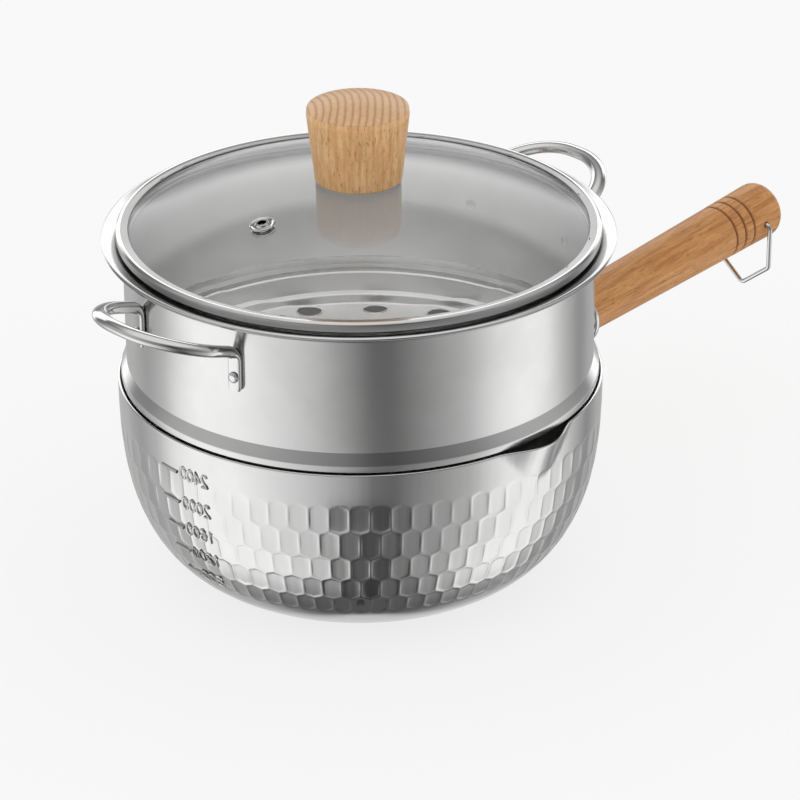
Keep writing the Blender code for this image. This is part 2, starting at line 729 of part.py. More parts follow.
# Lid
def make_band():
    """The steel band: a channel round the glass, a sloped seat and a skirt that centres the lid."""
    inner = BAND_RADIUS - BAND_LIP
    skirt = SKIRT_RADIUS
    sheet = BAND_SHEET
    profile = [
        (inner, BAND_TOP),
        (BAND_RADIUS - sheet, BAND_TOP),
        (BAND_RADIUS, BAND_TOP - sheet),
        (BAND_RADIUS, BAND_BOTTOM),
        (skirt + sheet, BAND_BOTTOM - SEAT_DROP),
        (skirt + sheet, BAND_BOTTOM - SEAT_DROP - SKIRT_DROP),
        (skirt, BAND_BOTTOM - SEAT_DROP - SKIRT_DROP),
        (skirt, BAND_BOTTOM - SEAT_DROP + sheet),
        (BAND_RADIUS - sheet, BAND_BOTTOM + sheet),
        (BAND_RADIUS - sheet, BAND_TOP - sheet),
        (inner, BAND_TOP - sheet),
    ]
    return turned("lid_rim_band", profile, LID_COLUMNS, POLISHED_STEEL, closed=True)


def make_glass(band):
    """The glass dome with a flat rim, a middle hole for the knob and a hole for the vent."""
    dome = GLASS_DOME_RADIUS
    by_vent = (VENT_RADIUS - VENT_FLANGE_RADIUS, VENT_RADIUS + VENT_FLANGE_RADIUS)
    radii = (dome * 0.3, *by_vent, dome * 0.8, dome)
    upper = [(radius, glass_height(radius)) for radius in radii]
    upper = [(GLASS_HOLE_RADIUS, GLASS_TOP), (WASHER_RADIUS, GLASS_TOP)] + upper
    lower = [(radius, height - GLASS_SHEET) for radius, height in upper[::-1]]
    rim = [(GLASS_RADIUS, GLASS_RIM_TOP), (GLASS_RADIUS, GLASS_RIM_BOTTOM)]
    profile = upper + rim + lower
    glass = turned("lid_glass", profile, LID_COLUMNS, GLASS, closed=True, parent=band)
    drill("vent_hole", glass, vent_place(), VENT_TUBE_RADIUS + FIT, VENT_DRILL)
    return glass


def vent_place():
    """On the glass over the vent, with local Z square to the dome."""
    spot = Vector((VENT_RADIUS, 0, glass_height(VENT_RADIUS)))
    outward = spot - Vector((0, 0, GLASS_TOP - GLASS_BALL))
    return Matrix.Rotation(VENT_TURN, 4, "Z") @ facing(spot, outward)


def make_vent(band):
    """The steam vent: an eyelet from above and a ring that closes it from below."""
    rim = VENT_FLANGE_RADIUS
    eyelet = [
        (VENT_BORE_RADIUS, VENT_HEIGHT * 0.6),
        (VENT_TUBE_RADIUS, VENT_HEIGHT),
        (rim * 0.82, VENT_HEIGHT * 0.9),
        (rim, FIT),
        (VENT_TUBE_RADIUS, FIT),
        (VENT_TUBE_RADIUS, -GLASS_SHEET - 2 * FIT - VENT_HEIGHT),
        (VENT_BORE_RADIUS, -GLASS_SHEET - 2 * FIT - VENT_HEIGHT),
    ]
    bore = VENT_TUBE_RADIUS + FIT
    top = -GLASS_SHEET - FIT
    closing = [(bore, top), (rim, top), (rim * 0.9, top - VENT_HEIGHT), (bore, top - VENT_HEIGHT)]
    place = vent_place()
    turned("vent_eyelet", eyelet, 14, POLISHED_STEEL, closed=True, place=place, parent=band)
    turned("vent_lower_ring", closing, 14, POLISHED_STEEL, closed=True, place=place, parent=band)


def make_knob(band):
    """The beech knob: a blunt cone with a domed top, a gasket recess and a blind bore."""
    side_top = KNOB_BOTTOM + KNOB_SIDE_HEIGHT
    ball = (KNOB_TOP_RADIUS**2 + KNOB_DOME**2) / (2 * KNOB_DOME)
    dome = []
    for share in (0.0, 0.4, 0.7, 0.93):
        radius = KNOB_TOP_RADIUS * share
        dome.append((radius, side_top + KNOB_DOME - ball + math.sqrt(ball**2 - radius**2)))
    recess = GASKET_RADIUS + FIT
    profile = dome + [
        (KNOB_TOP_RADIUS, side_top - KNOB_EDGE),
        (KNOB_BASE_RADIUS, KNOB_BOTTOM + KNOB_EDGE * 0.4),
        (KNOB_BASE_RADIUS - KNOB_EDGE * 0.4, KNOB_BOTTOM),
        (recess, KNOB_BOTTOM),
        (recess, KNOB_BOTTOM + GASKET + FIT),
        (KNOB_BORE_RADIUS, KNOB_BOTTOM + GASKET + FIT),
        (KNOB_BORE_RADIUS, KNOB_BOTTOM + KNOB_BORE),
        (0, KNOB_BOTTOM + KNOB_BORE),
    ]
    return turned("lid_knob", profile, 20, BEECH, parent=band)


def washer(name, inner, outer, top, thickness, material, parent):
    profile = [(inner, top), (outer, top), (outer, top - thickness), (inner, top - thickness)]
    return turned(name, profile, 16, material, closed=True, parent=parent)


def make_knob_fixing(band):
    """Gaskets on both faces of the glass, a steel washer and the screw that holds the knob."""
    bore = KNOB_SCREW_RADIUS + FIT
    washer("knob_gasket", bore, GASKET_RADIUS, GLASS_TOP + FIT + GASKET, GASKET, SILICONE, band)
    under = GLASS_TOP - GLASS_SHEET - FIT
    washer("lower_gasket", bore, GASKET_RADIUS, under, GASKET, SILICONE, band)
    steel_top = under - GASKET - FIT
    washer("knob_washer", bore, WASHER_RADIUS, steel_top, WASHER, POLISHED_STEEL, band)
    head_top = steel_top - WASHER - FIT
    profile = [
        (0, KNOB_BOTTOM + KNOB_SCREW_REACH),
        (KNOB_SCREW_RADIUS, KNOB_BOTTOM + KNOB_SCREW_REACH),
        (KNOB_SCREW_RADIUS, head_top),
        (KNOB_SCREW_HEAD_RADIUS, head_top),
        (KNOB_SCREW_HEAD_RADIUS * 0.85, head_top - KNOB_SCREW_HEAD * 0.75),
        (0, head_top - KNOB_SCREW_HEAD),
    ]
    turned("knob_screw", profile, 12, POLISHED_STEEL, parent=band)


def make_pot():
    bowl = make_bowl()
    socket = make_socket()
    for side, which in ((-1, "left"), (1, "right")):
        place = plate_rivet_place(side)
        drill(f"bowl_hole_{which}", bowl, place, RIVET_SHANK_RADIUS + FIT, PLATE_DRILL)
        grip = PLATE_SHEET + 2 * FIT + BOWL_SHEET
        rivet(f"socket_rivet_{which}", place, grip, PLATE_RIVET_HEAD_RADIUS)
    make_wood()
    make_handle_screw(socket)
    make_ring()
    steamer = make_steamer()
    make_loop("loop_handle_front", TURN / 2 + LOOP_TURN, steamer)
    make_loop("loop_handle_rear", LOOP_TURN, steamer)
    band = make_band()
    make_glass(band)
    make_vent(band)
    make_knob(band)
    make_knob_fixing(band)


make_pot()
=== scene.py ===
"""Looks of the ramen pot: finely modelled steel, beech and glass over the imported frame."""

import logging
import math
import random
from collections.abc import Sequence
from dataclasses import dataclass
from enum import Enum
from functools import cache

import bmesh
import bpy
from mathutils import Matrix, Vector


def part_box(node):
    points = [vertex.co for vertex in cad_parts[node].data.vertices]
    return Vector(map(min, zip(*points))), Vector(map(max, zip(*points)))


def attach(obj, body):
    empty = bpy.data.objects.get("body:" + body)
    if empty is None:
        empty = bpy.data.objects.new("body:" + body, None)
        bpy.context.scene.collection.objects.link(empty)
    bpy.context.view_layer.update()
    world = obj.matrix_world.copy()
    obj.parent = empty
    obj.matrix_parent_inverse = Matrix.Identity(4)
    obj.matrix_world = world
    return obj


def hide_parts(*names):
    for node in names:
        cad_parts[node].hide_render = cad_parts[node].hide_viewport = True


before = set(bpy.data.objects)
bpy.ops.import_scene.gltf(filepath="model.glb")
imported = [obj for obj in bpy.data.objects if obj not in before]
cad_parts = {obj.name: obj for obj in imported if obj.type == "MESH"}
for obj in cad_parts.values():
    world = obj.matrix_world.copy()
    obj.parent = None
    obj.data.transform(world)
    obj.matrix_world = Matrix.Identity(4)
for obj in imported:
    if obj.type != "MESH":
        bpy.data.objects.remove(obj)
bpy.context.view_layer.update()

Build = bmesh.types.BMesh
Node = bpy.types.Node
Socket = bpy.types.NodeSocket
Colour = tuple[float, float, float]

# Lengths are in millimetres and the finished meshes in metres. Heights are from the table.
MM = 0.001
TURN = math.tau
FIT = 0.3
WELD = 0.001
COARSE_WELD = 0.02

# The cosine of half an angle under which a corner counts as straight
STRAIGHT = 0.01

log = logging.getLogger("ramen_pot")


class Body(Enum):
    """The moving bodies of the frame."""

    POT = "pot"
    RING = "ring"
    STEAMER = "steamer"
    LID = "lid"


class Slot(Enum):
    """The material slots of the record."""

    HAMMERED = "hammered_steel"
    SATIN = "satin_steel"
    POLISHED = "polished_steel"
    WIRE = "chromed_wire"
    BEECH = "beech"
    GLASS = "tempered_glass"
    SILICONE = "silicone"


class Side(Enum):
    """The two ends of a pair, with the sign of their direction."""

    LEFT = -1
    RIGHT = 1

    @property
    def label(self) -> str:
        """The word that node names use."""
        return self.name.lower()


@dataclass(frozen=True)
class Corner:
    """A corner of a turned outline.

    Args:
        radius: Distance from the axis.
        height: Height along the axis.
        bend: Radius that rounds the corner, or zero to leave it sharp.
    """

    radius: float
    height: float
    bend: float = 0.0

    @property
    def point(self) -> Vector:
        """The corner as a point of the outline's plane."""
        return Vector((self.radius, self.height))


def rounded(before: Vector, corner: Vector, after: Vector, bend: float, steps: int) -> list[Vector]:
    """Rounds one corner of a line, flat or in space.

    Args:
        before: The corner before it.
        corner: The corner.
        after: The corner after it.
        bend: Radius that rounds the corner, or zero to leave it sharp.
        steps: Short lines in the rounded corner.

    Returns:
        The points that stand for the corner.
    """
    back = (before - corner).normalized()
    on = (after - corner).normalized()
    half = back.angle(on) / 2
    if not bend or math.cos(half) < STRAIGHT:
        return [corner]
    middle = corner + (back + on).normalized() * bend / math.sin(half)
    first = corner + back * bend / math.tan(half) - middle
    last = corner + on * bend / math.tan(half) - middle
    return [middle + first.slerp(last, step / steps).normalized() * bend for step in range(steps + 1)]


def bent_line(corners: Sequence[Corner], steps: int = 5) -> list[Vector]:
    """Rounds each inner corner of a line.

    Args:
        corners: The line's corners in order.
        steps: Short lines in each rounded corner.

    Returns:
        The points of the rounded line.
    """
    line = [corners[0].point]
    for before, corner, after in zip(corners, corners[1:], corners[2:]):
        line += rounded(before.point, corner.point, after.point, corner.bend, steps)
    return [*line, corners[-1].point]


def bent_ring(corners: Sequence[Corner], steps: int = 5) -> list[Vector]:
    """Rounds every corner of a closed outline.

    Args:
        corners: The outline's corners in order, the first not repeated.
        steps: Short lines in each rounded corner.

    Returns:
        The points of the closed outline, the first not repeated.
    """
    looped = [corners[-1], *corners, corners[0]]
    return bent_line(looped, steps)[1:-1]


def raised(rim: float, rows: Sequence[tuple[float, float, float]]) -> list[Corner]:
    """Corners from rows of a radius, a height over the bowl's rim and a bend."""
    return [Corner(radius, rim + height, bend) for radius, height, bend in rows]


def sheet_outline(line: Sequence[Vector], thickness: float) -> list[Vector]:
    """Gives a middle line the thickness of a sheet, with rounded free ends.

    Args:
        line: Points of the sheet's middle line.
        thickness: The sheet's thickness.

    Returns:
        The outline, which starts and ends on the axis where the line ends there.
    """
    ahead = [(b - a).normalized() for a, b in zip(line, line[1:])]
    tangents = [ahead[0]] + [(a + b).normalized() for a, b in zip(ahead, ahead[1:])] + [ahead[-1]]
    across = [Vector((-tangent.y, tangent.x)) * thickness / 2 for tangent in tangents]
    upper = [point + side for point, side in zip(line, across)]
    lower = [point - side for point, side in zip(line, across)]

    def end_cap(point: Vector, side: Vector, outward: Vector) -> list[Vector]:
        """Three points that round off a free end."""
        reach = outward * thickness / 2
        return [point + side * 0.7 + reach * 0.7, point + reach, point - side * 0.7 + reach * 0.7]

    outline = upper[::-1] + end_cap(line[0], across[0], -tangents[0]) + lower
    if line[-1].x > WELD:
        outline += end_cap(line[-1], -across[-1], tangents[-1])
    return outline


def place_object(name: str, data: bpy.types.ID) -> bpy.types.Object:
    """Adds an object to the scene."""
    thing = bpy.data.objects.new(name, data)
    bpy.context.scene.collection.objects.link(thing)
    return thing


def build_from(mesh: bpy.types.Mesh) -> Build:
    """A build with the shape of a mesh, which is used up."""
    build = bmesh.new()
    build.from_mesh(mesh)
    bpy.data.meshes.remove(mesh)
    return build


def add_part(build: Build, part: Build) -> None:
    """Adds the shape of a part, which is used up, to a build."""
    mesh = bpy.data.meshes.new("part")
    part.to_mesh(mesh)
    part.free()
    build.from_mesh(mesh)
    bpy.data.meshes.remove(mesh)


def spin_whole(build: Build, geometry: Sequence[object], columns: int) -> None:
    """Spins an outline's points and lines once round Z."""
    bmesh.ops.spin(build, geom=geometry, cent=(0, 0, 0), axis=(0, 0, 1), angle=TURN, steps=columns, use_merge=True)


def turned(outline: Sequence[Vector], columns: int, place: Matrix | None = None) -> Build:
    """Turns an outline once round Z and moves the solid to its place.

    Args:
        outline: Points of the outline; one that doesn't start on the axis is closed.
        columns: Steps of the turn.
        place: Where the solid goes, or nothing to leave it.

    Returns:
        The turned solid.
    """
    build = bmesh.new()
    corners = [build.verts.new((point.x, 0, point.y)) for point in outline]
    edges = [build.edges.new(pair) for pair in zip(corners, corners[1:])]
    if outline[0].x > WELD:
        edges.append(build.edges.new((corners[-1], corners[0])))
    spin_whole(build, corners + edges, columns)
    bmesh.ops.remove_doubles(build, verts=build.verts, dist=WELD)
    bmesh.ops.recalc_face_normals(build, faces=build.faces)
    if place:
        bmesh.ops.transform(build, matrix=place, verts=build.verts)
    return build


def rod_mesh(path: Sequence[Vector], radius: float, sides: int) -> Build:
    """Makes a round rod along a path.

    Args:
        path: Points of the rod's middle line.
        radius: The rod's radius.
        sides: Resolution of the rod's round section.

    Returns:
        The rod with closed ends.
    """
    curve = bpy.data.curves.new("rod", "CURVE")
    curve.dimensions = "3D"
    curve.bevel_depth = radius
    curve.bevel_resolution = sides
    curve.use_fill_caps = True
    spline = curve.splines.new("POLY")
    spline.points.add(len(path) - 1)
    for point, place in zip(spline.points, path):
        point.co = (*place, 1.0)
    guide = place_object("rod", curve)
    graph = bpy.context.evaluated_depsgraph_get()
    mesh = bpy.data.meshes.new_from_object(guide.evaluated_get(graph))
    bpy.data.objects.remove(guide, do_unlink=True)
    build = build_from(mesh)
    bpy.data.curves.remove(curve)
    bmesh.ops.remove_doubles(build, verts=build.verts, dist=WELD)
    bmesh.ops.recalc_face_normals(build, faces=build.faces)
    return build


def rounded_path(corners: Sequence[Vector], bend: float, steps: int) -> list[Vector]:
    """Rounds the inner corners of a path in space.

    Args:
        corners: The path's corners.
        bend: Radius of each rounded corner.
        steps: Short lines in each rounded corner.

    Returns:
        The points of the rounded path.
    """
    path = [corners[0]]
    for before, corner, after in zip(corners, corners[1:], corners[2:]):
        path += rounded(before, corner, after, bend, steps)
    return [*path, corners[-1]]


def facing(spot: Vector, direction: Vector) -> Matrix:
    """A placement at a spot with its local Z along a direction."""
    return Matrix.Translation(spot) @ direction.to_track_quat("Z", "Y").to_matrix().to_4x4()


@cache
def hammer_lean(row: int, cell: int) -> tuple[float, float]:
    """How a hammer blow leans across and up, as slopes that stay the same for a cell."""
    pick = random.Random(cell + 1000 * row)
    return pick.uniform(-0.012, 0.012), pick.uniform(-0.012, 0.012)


def smoothstep(value: float) -> float:
    """Eases from nought to one."""
    share = min(max(value, 0.0), 1.0)
    return share * share * (3 - 2 * share)


# Node trees
class Recipe:
    """Writes a node tree step by step."""

    def __init__(self, tree: bpy.types.NodeTree) -> None:
        """Keeps the tree to write in."""
        self.tree = tree

    def add(self, kind: str, **settings: object) -> Node:
        """Adds a node of a kind, with its settings."""
        node = self.tree.nodes.new(kind)
        for name, value in settings.items():
            setattr(node, name, value)
        return node

    def feed(self, socket: Socket, value: object) -> None:
        """Links a socket to another one, or gives it a plain value."""
        if isinstance(value, Socket):
            self.tree.links.new(value, socket)
        else:
            socket.default_value = value

    def math(self, operation: str, *values: object) -> Socket:
        """Adds a sum of one to three values and returns its result."""
        node = self.add("ShaderNodeMath", operation=operation)
        for socket, value in zip(node.inputs, values):
            self.feed(socket, value)
        return node.outputs[0]

    def times(self, first: object, second: object) -> Socket:
        """Multiplies two values."""
        return self.math("MULTIPLY", first, second)

    def times_plus(self, first: object, second: object, third: object) -> Socket:
        """Multiplies two values and adds a third."""
        return self.math("MULTIPLY_ADD", first, second, third)

    def length(self, across: object, along: object) -> Socket:
        """The length of a flat vector."""
        return self.math("SQRT", self.times_plus(across, across, self.times(along, along)))

    def parts(self, vector: object) -> list[Socket]:
        """Splits a vector into its three parts."""
        node = self.add("ShaderNodeSeparateXYZ")
        self.feed(node.inputs[0], vector)
        return list(node.outputs)

    def spread(self, value: object, low: float, high: float, to_low: float = 0.0, to_high: float = 1.0) -> Socket:
        """Maps a value smoothly from one range to another."""
        node = self.add("ShaderNodeMapRange", interpolation_type="SMOOTHSTEP")
        for socket, number in zip(node.inputs, (value, low, high, to_low, to_high)):
            self.feed(socket, number)
        return node.outputs[0]

    def mix(self, share: object, first: object, second: object) -> Socket:
        """Mixes two colours."""
        node = self.add("ShaderNodeMix", data_type="RGBA")
        self.feed(node.inputs[0], share)
        self.feed(node.inputs[6], first)
        self.feed(node.inputs[7], second)
        return node.outputs[2]

    def stretch(self, vector: object, scale: tuple[float, float, float]) -> Socket:
        """Scales a vector by axis."""
        node = self.add("ShaderNodeVectorMath", operation="MULTIPLY")
        self.feed(node.inputs[0], vector)
        self.feed(node.inputs[1], scale)
        return node.outputs[0]

    def noise(self, vector: object, scale: float, detail: float = 2.0, roughness: float = 0.5) -> Socket:
        """Adds a noise and returns its grey value."""
        node = self.add("ShaderNodeTexNoise")
        self.feed(node.inputs["Vector"], vector)
        node.inputs["Scale"].default_value = scale
        node.inputs["Detail"].default_value = detail
        node.inputs["Roughness"].default_value = roughness
        return node.outputs["Fac"]

    def bump(self, height: object, strength: float, distance: float) -> Socket:
        """Adds a bump and returns its normal."""
        node = self.add("ShaderNodeBump")
        node.inputs["Strength"].default_value = strength
        node.inputs["Distance"].default_value = distance
        self.feed(node.inputs["Height"], height)
        return node.outputs[0]


def new_group(
    name: str, takes: Sequence[tuple[str, str]], gives: Sequence[tuple[str, str]]
) -> tuple[Recipe, Node, Node]:
    """Starts a shader node group.

    Args:
        name: The group's name.
        takes: Name and socket type of each input.
        gives: Name and socket type of each output.

    Returns:
        The recipe of its tree, its input node and its output node.
    """
    tree = bpy.data.node_groups.new(name, "ShaderNodeTree")
    for title, kind in takes:
        tree.interface.new_socket(title, in_out="INPUT", socket_type=kind)
    for title, kind in gives:
        tree.interface.new_socket(title, in_out="OUTPUT", socket_type=kind)
    recipe = Recipe(tree)
    return recipe, recipe.add("NodeGroupInput"), recipe.add("NodeGroupOutput")


def turned_grain_group() -> bpy.types.ShaderNodeTree:
    """Fine lines that run round the axis, as a lathe or a polishing wheel leaves them."""
    recipe, source, result = new_group(
        "Turned grain",
        [("Vector", "NodeSocketVector"), ("Fineness", "NodeSocketFloat")],
        [("Grain", "NodeSocketFloat")],
    )
    x, y, z = recipe.parts(source.outputs["Vector"])
    angle = recipe.math("ARCTAN2", y, x)
    join = recipe.add("ShaderNodeCombineXYZ")
    recipe.feed(join.inputs[0], recipe.times(recipe.math("COSINE", angle), 1.5))
    recipe.feed(join.inputs[1], recipe.times(recipe.math("SINE", angle), 1.5))
    line = recipe.math("ADD", recipe.length(x, y), z)
    recipe.feed(join.inputs[2], recipe.times(line, source.outputs["Fineness"]))
    recipe.feed(result.inputs["Grain"], recipe.noise(join.outputs[0], 1.0, 3.0, 0.6))
    return recipe.tree


def handling_group() -> bpy.types.ShaderNodeTree:
    """Soft cloudy marks of wiping and handling."""
    recipe, source, result = new_group(
        "Handling", [("Vector", "NodeSocketVector")], [("Marks", "NodeSocketFloat")])
    cloud = recipe.noise(source.outputs["Vector"], 28.0, 4.0, 0.55)
    recipe.feed(result.inputs["Marks"], recipe.spread(cloud, 0.35, 0.7))
    return recipe.tree


def beech_group() -> bpy.types.ShaderNodeTree:
    """Beech: soft growth rings round a far pith and short dark flecks along the grain, local Z."""
    recipe, source, result = new_group(
        "Beech grain",
        [("Vector", "NodeSocketVector")],
        [("Tone", "NodeSocketFloat"), ("Flecks", "NodeSocketFloat"), ("Rings", "NodeSocketFloat")],
    )
    vector = source.outputs["Vector"]
    waver = recipe.noise(recipe.stretch(vector, (1, 1, 0.18)), 55.0, 3.0)
    x, y, _ = recipe.parts(vector)
    from_pith = recipe.length(recipe.math("ADD", x, 0.075), y)
    ring = recipe.times_plus(from_pith, 1900.0, recipe.times(waver, 4.0))
    wave = recipe.times_plus(recipe.math("SINE", ring), 0.5, 0.5)
    recipe.feed(result.inputs["Rings"], recipe.math("POWER", wave, 3.0))
    tone = recipe.noise(recipe.stretch(vector, (1, 1, 0.07)), 520.0, 6.0, 0.7)
    recipe.feed(result.inputs["Tone"], recipe.spread(tone, 0.3, 0.72))
    fine = recipe.noise(recipe.stretch(vector, (1, 1, 0.2)), 1900.0, 2.0, 0.6)
    coarse = recipe.noise(recipe.stretch(vector, (1, 1, 0.17)), 1050.0, 1.0, 0.5)
    small = recipe.spread(fine, 0.60, 0.69)
    large = recipe.spread(coarse, 0.655, 0.71)
    recipe.feed(result.inputs["Flecks"], recipe.math("MAXIMUM", small, large))
    return recipe.tree


@dataclass
class Groups:
    """The node groups that the finishes share."""

    grain: bpy.types.ShaderNodeTree
    handling: bpy.types.ShaderNodeTree
    beech: bpy.types.ShaderNodeTree


groups = Groups(turned_grain_group(), handling_group(), beech_group())


def grey(value: float) -> tuple[float, float, float, float]:
    """An opaque grey."""
    return value, value, value, 1.0


def new_material(name: str) -> tuple[bpy.types.Material, Recipe, Node]:
    """Starts a material and returns it with its recipe and its shader."""
    material = bpy.data.materials.new(name)
    material.use_nodes = True
    return material, Recipe(material.node_tree), material.node_tree.nodes["Principled BSDF"]


def place_group(recipe: Recipe, tree: bpy.types.ShaderNodeTree, **values: object) -> Node:
    """Places a shared group in a material with its own values."""
    node = recipe.add("ShaderNodeGroup", node_tree=tree)
    for name, value in values.items():
        recipe.feed(node.inputs[name], value)
    return node


@dataclass(frozen=True)
class Steel:
    """A steel finish.

    Args:
        name: The material's name.
        shine: Grey of the reflection.
        roughness: Roughness of the clean surface.
        marks: Roughness that handling adds.
        grain: Roughness that the turned lines add.
        relief: Strength of the turned lines' bump.
        fineness: Turned lines per metre across.
    """

    name: str
    shine: float
    roughness: float
    marks: float
    grain: float
    relief: float
    fineness: float = 2600.0

    def make(self) -> bpy.types.Material:
        """Builds the material."""
        material, recipe, shader = new_material(self.name)
        where = recipe.add("ShaderNodeTexCoord").outputs["Object"]
        lines = place_group(recipe, groups.grain, Vector=where, Fineness=self.fineness).outputs["Grain"]
        marks = place_group(recipe, groups.handling, Vector=where).outputs["Marks"]
        rough = recipe.times_plus(lines, self.grain, self.roughness)
        rough = recipe.times_plus(marks, self.marks, rough)
        bright = (self.shine, self.shine, self.shine * 0.995, 1.0)
        dull = (self.shine * 0.93, self.shine * 0.93, self.shine * 0.92, 1.0)
        recipe.feed(shader.inputs["Base Color"], recipe.mix(marks, bright, dull))
        recipe.feed(shader.inputs["Roughness"], rough)
        recipe.feed(shader.inputs["Normal"], recipe.bump(lines, self.relief, 0.00002))
        shader.inputs["Metallic"].default_value = 1.0
        return material


@dataclass(frozen=True)
class Beech:
    """Oiled beech.

    Args:
        name: The material's name.
        place: Placement of the piece, whose local Z is the grain.
        rings: Strength of the growth rings.
        dark: Colour of the darker streaks.
        pale: Colour of the paler streaks.
        end: Distance along the grain from which end grain shows.
        end_rings: Strength that the end grain adds to the rings.
        end_colour: Colour that the end grain tends to.
        ring_colour: Colour of the growth rings.
        fleck_colour: Colour of the flecks.
        burnt_colour: Colour of burnt wood.
    """

    name: str
    place: Matrix
    rings: float
    dark: Colour
    pale: Colour
    end: float = 1000.0
    end_rings: float = 0.42
    end_colour: Colour = (0.62, 0.40, 0.245)
    ring_colour: Colour = (0.33, 0.150, 0.052)
    fleck_colour: Colour = (0.20, 0.070, 0.020)
    burnt_colour: Colour = (0.15, 0.036, 0.012)

    def make(self) -> bpy.types.Material:
        """Builds the material, with darker wood where the piece is marked as burnt."""
        material, recipe, shader = new_material(self.name)
        mapping = recipe.add("ShaderNodeMapping", vector_type="TEXTURE")
        recipe.feed(mapping.inputs["Vector"], recipe.add("ShaderNodeTexCoord").outputs["Object"])
        mapping.inputs["Location"].default_value = self.place.to_translation() * MM
        mapping.inputs["Rotation"].default_value = self.place.to_euler()
        where = mapping.outputs[0]
        wood = place_group(recipe, groups.beech, Vector=where)
        marks = place_group(recipe, groups.handling, Vector=where).outputs["Marks"]
        colour = recipe.mix(wood.outputs["Tone"], (*self.dark, 1), (*self.pale, 1))
        along = recipe.parts(where)[2]
        top = recipe.spread(along, (self.end - 0.3) * MM, (self.end + 0.3) * MM)
        colour = recipe.mix(recipe.times(top, 0.6), colour, (*self.end_colour, 1))
        strength = recipe.times_plus(top, self.end_rings, self.rings)
        ringed = recipe.times(wood.outputs["Rings"], strength)
        colour = recipe.mix(ringed, colour, (*self.ring_colour, 1))
        flecked = recipe.times(wood.outputs["Flecks"], recipe.times_plus(top, -0.35, 0.45))
        colour = recipe.mix(flecked, colour, (*self.fleck_colour, 1))
        burnt = recipe.add("ShaderNodeAttribute", attribute_name="burnt").outputs["Fac"]
        colour = recipe.mix(burnt, colour, (*self.burnt_colour, 1))
        recipe.feed(shader.inputs["Base Color"], colour)
        rough = recipe.times_plus(marks, 0.08, 0.44)
        rough = recipe.times_plus(wood.outputs["Flecks"], 0.12, rough)
        recipe.feed(shader.inputs["Roughness"], rough)
        height = recipe.math("SUBTRACT", 1.0, wood.outputs["Flecks"])
        recipe.feed(shader.inputs["Normal"], recipe.bump(height, 0.35, 0.00006))
        shader.inputs["Specular IOR Level"].default_value = 0.35
        shader.inputs["Coat Weight"].default_value = 0.12
        shader.inputs["Coat Roughness"].default_value = 0.14
        return material


@dataclass(frozen=True)
class Glass:
    """Clear tempered glass with faint wiping marks."""

    name: str = "Tempered glass"

    def make(self) -> bpy.types.Material:
        """Builds the material."""
        material, recipe, shader = new_material(self.name)
        where = recipe.add("ShaderNodeTexCoord").outputs["Object"]
        marks = place_group(recipe, groups.handling, Vector=where).outputs["Marks"]
        recipe.feed(shader.inputs["Roughness"], recipe.times(marks, 0.012))
        shader.inputs["Base Color"].default_value = (0.985, 0.987, 0.986, 1)
        shader.inputs["Transmission Weight"].default_value = 1.0
        shader.inputs["IOR"].default_value = 1.45
        return material


@dataclass(frozen=True)
class Silicone:
    """Matt silicone rubber with a fine moulded grain."""

    name: str = "Silicone"

    def make(self) -> bpy.types.Material:
        """Builds the material."""
        material, recipe, shader = new_material(self.name)
        where = recipe.add("ShaderNodeTexCoord").outputs["Object"]
        marks = place_group(recipe, groups.handling, Vector=where).outputs["Marks"]
        speckle = recipe.noise(where, 1800.0, 2.0)
        colour = recipe.mix(marks, (0.032, 0.032, 0.034, 1), (0.055, 0.055, 0.057, 1))
        recipe.feed(shader.inputs["Base Color"], colour)
        recipe.feed(shader.inputs["Roughness"], recipe.times_plus(speckle, 0.15, 0.5))
        recipe.feed(shader.inputs["Normal"], recipe.bump(speckle, 0.3, 0.00003))
        return material


HAMMERED = Steel("Hammered steel", 0.66, 0.065, 0.035, 0.03, 0.05).make()
SATIN = Steel("Satin steel", 0.66, 0.14, 0.04, 0.05, 0.10).make()
# Satin finish for the insides. Its reflection is raised far above the other steel as painted light, brightening the
# dim insides of the bowl and the steamer.
INSIDE_STEEL_WITH_PAINTED_LIGHT = Steel("Satin steel inside", 0.93, 0.28, 0.04, 0.03, 0.02).make()
# A darker copy of the polished steel, as painted shade on parts of the lid band.
STEEL_WITH_PAINTED_SHADE = Steel("Steel with painted shade", 0.42, 0.28, 0.04, 0.03, 0.02).make()
POLISHED = Steel("Polished steel", 0.67, 0.07, 0.03, 0.02, 0.03).make()
CHROME = Steel("Chromed wire", 0.60, 0.02, 0.02, 0.0, 0.0).make()
CLEAR = Glass().make()
RUBBER = Silicone().make()


def keep(
    name: str,
    build: Build,
    material: bpy.types.Material,
    body: Body,
    slot: Slot,
    *nodes: str,
    sharp: float = 42.0,
) -> bpy.types.Object:
    """Turns a build in millimetres into a finished piece.

    Args:
        name: The piece's name.
        build: Its mesh, which is used up.
        material: Its finish.
        body: The body that it rides on.
        slot: The record's slot of its finish; not used.
        nodes: The CAD nodes that it stands for.
        sharp: Angle in degrees from which an edge stays sharp.

    Returns:
        The piece.
    """
    mesh = bpy.data.meshes.new(name)
    bmesh.ops.scale(build, vec=(MM, MM, MM), verts=build.verts)
    build.to_mesh(mesh)
    build.free()
    mesh.shade_smooth()
    mesh.set_sharp_from_angle(angle=math.radians(sharp))
    mesh.materials.append(material)
    piece = place_object(name, mesh)
    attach(piece, body.value)
    if nodes:
        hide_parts(*nodes)
    mesh.calc_loop_triangles()
    log.info("%s: %d triangles on %s", name, len(mesh.loop_triangles), body.value)
    return piece


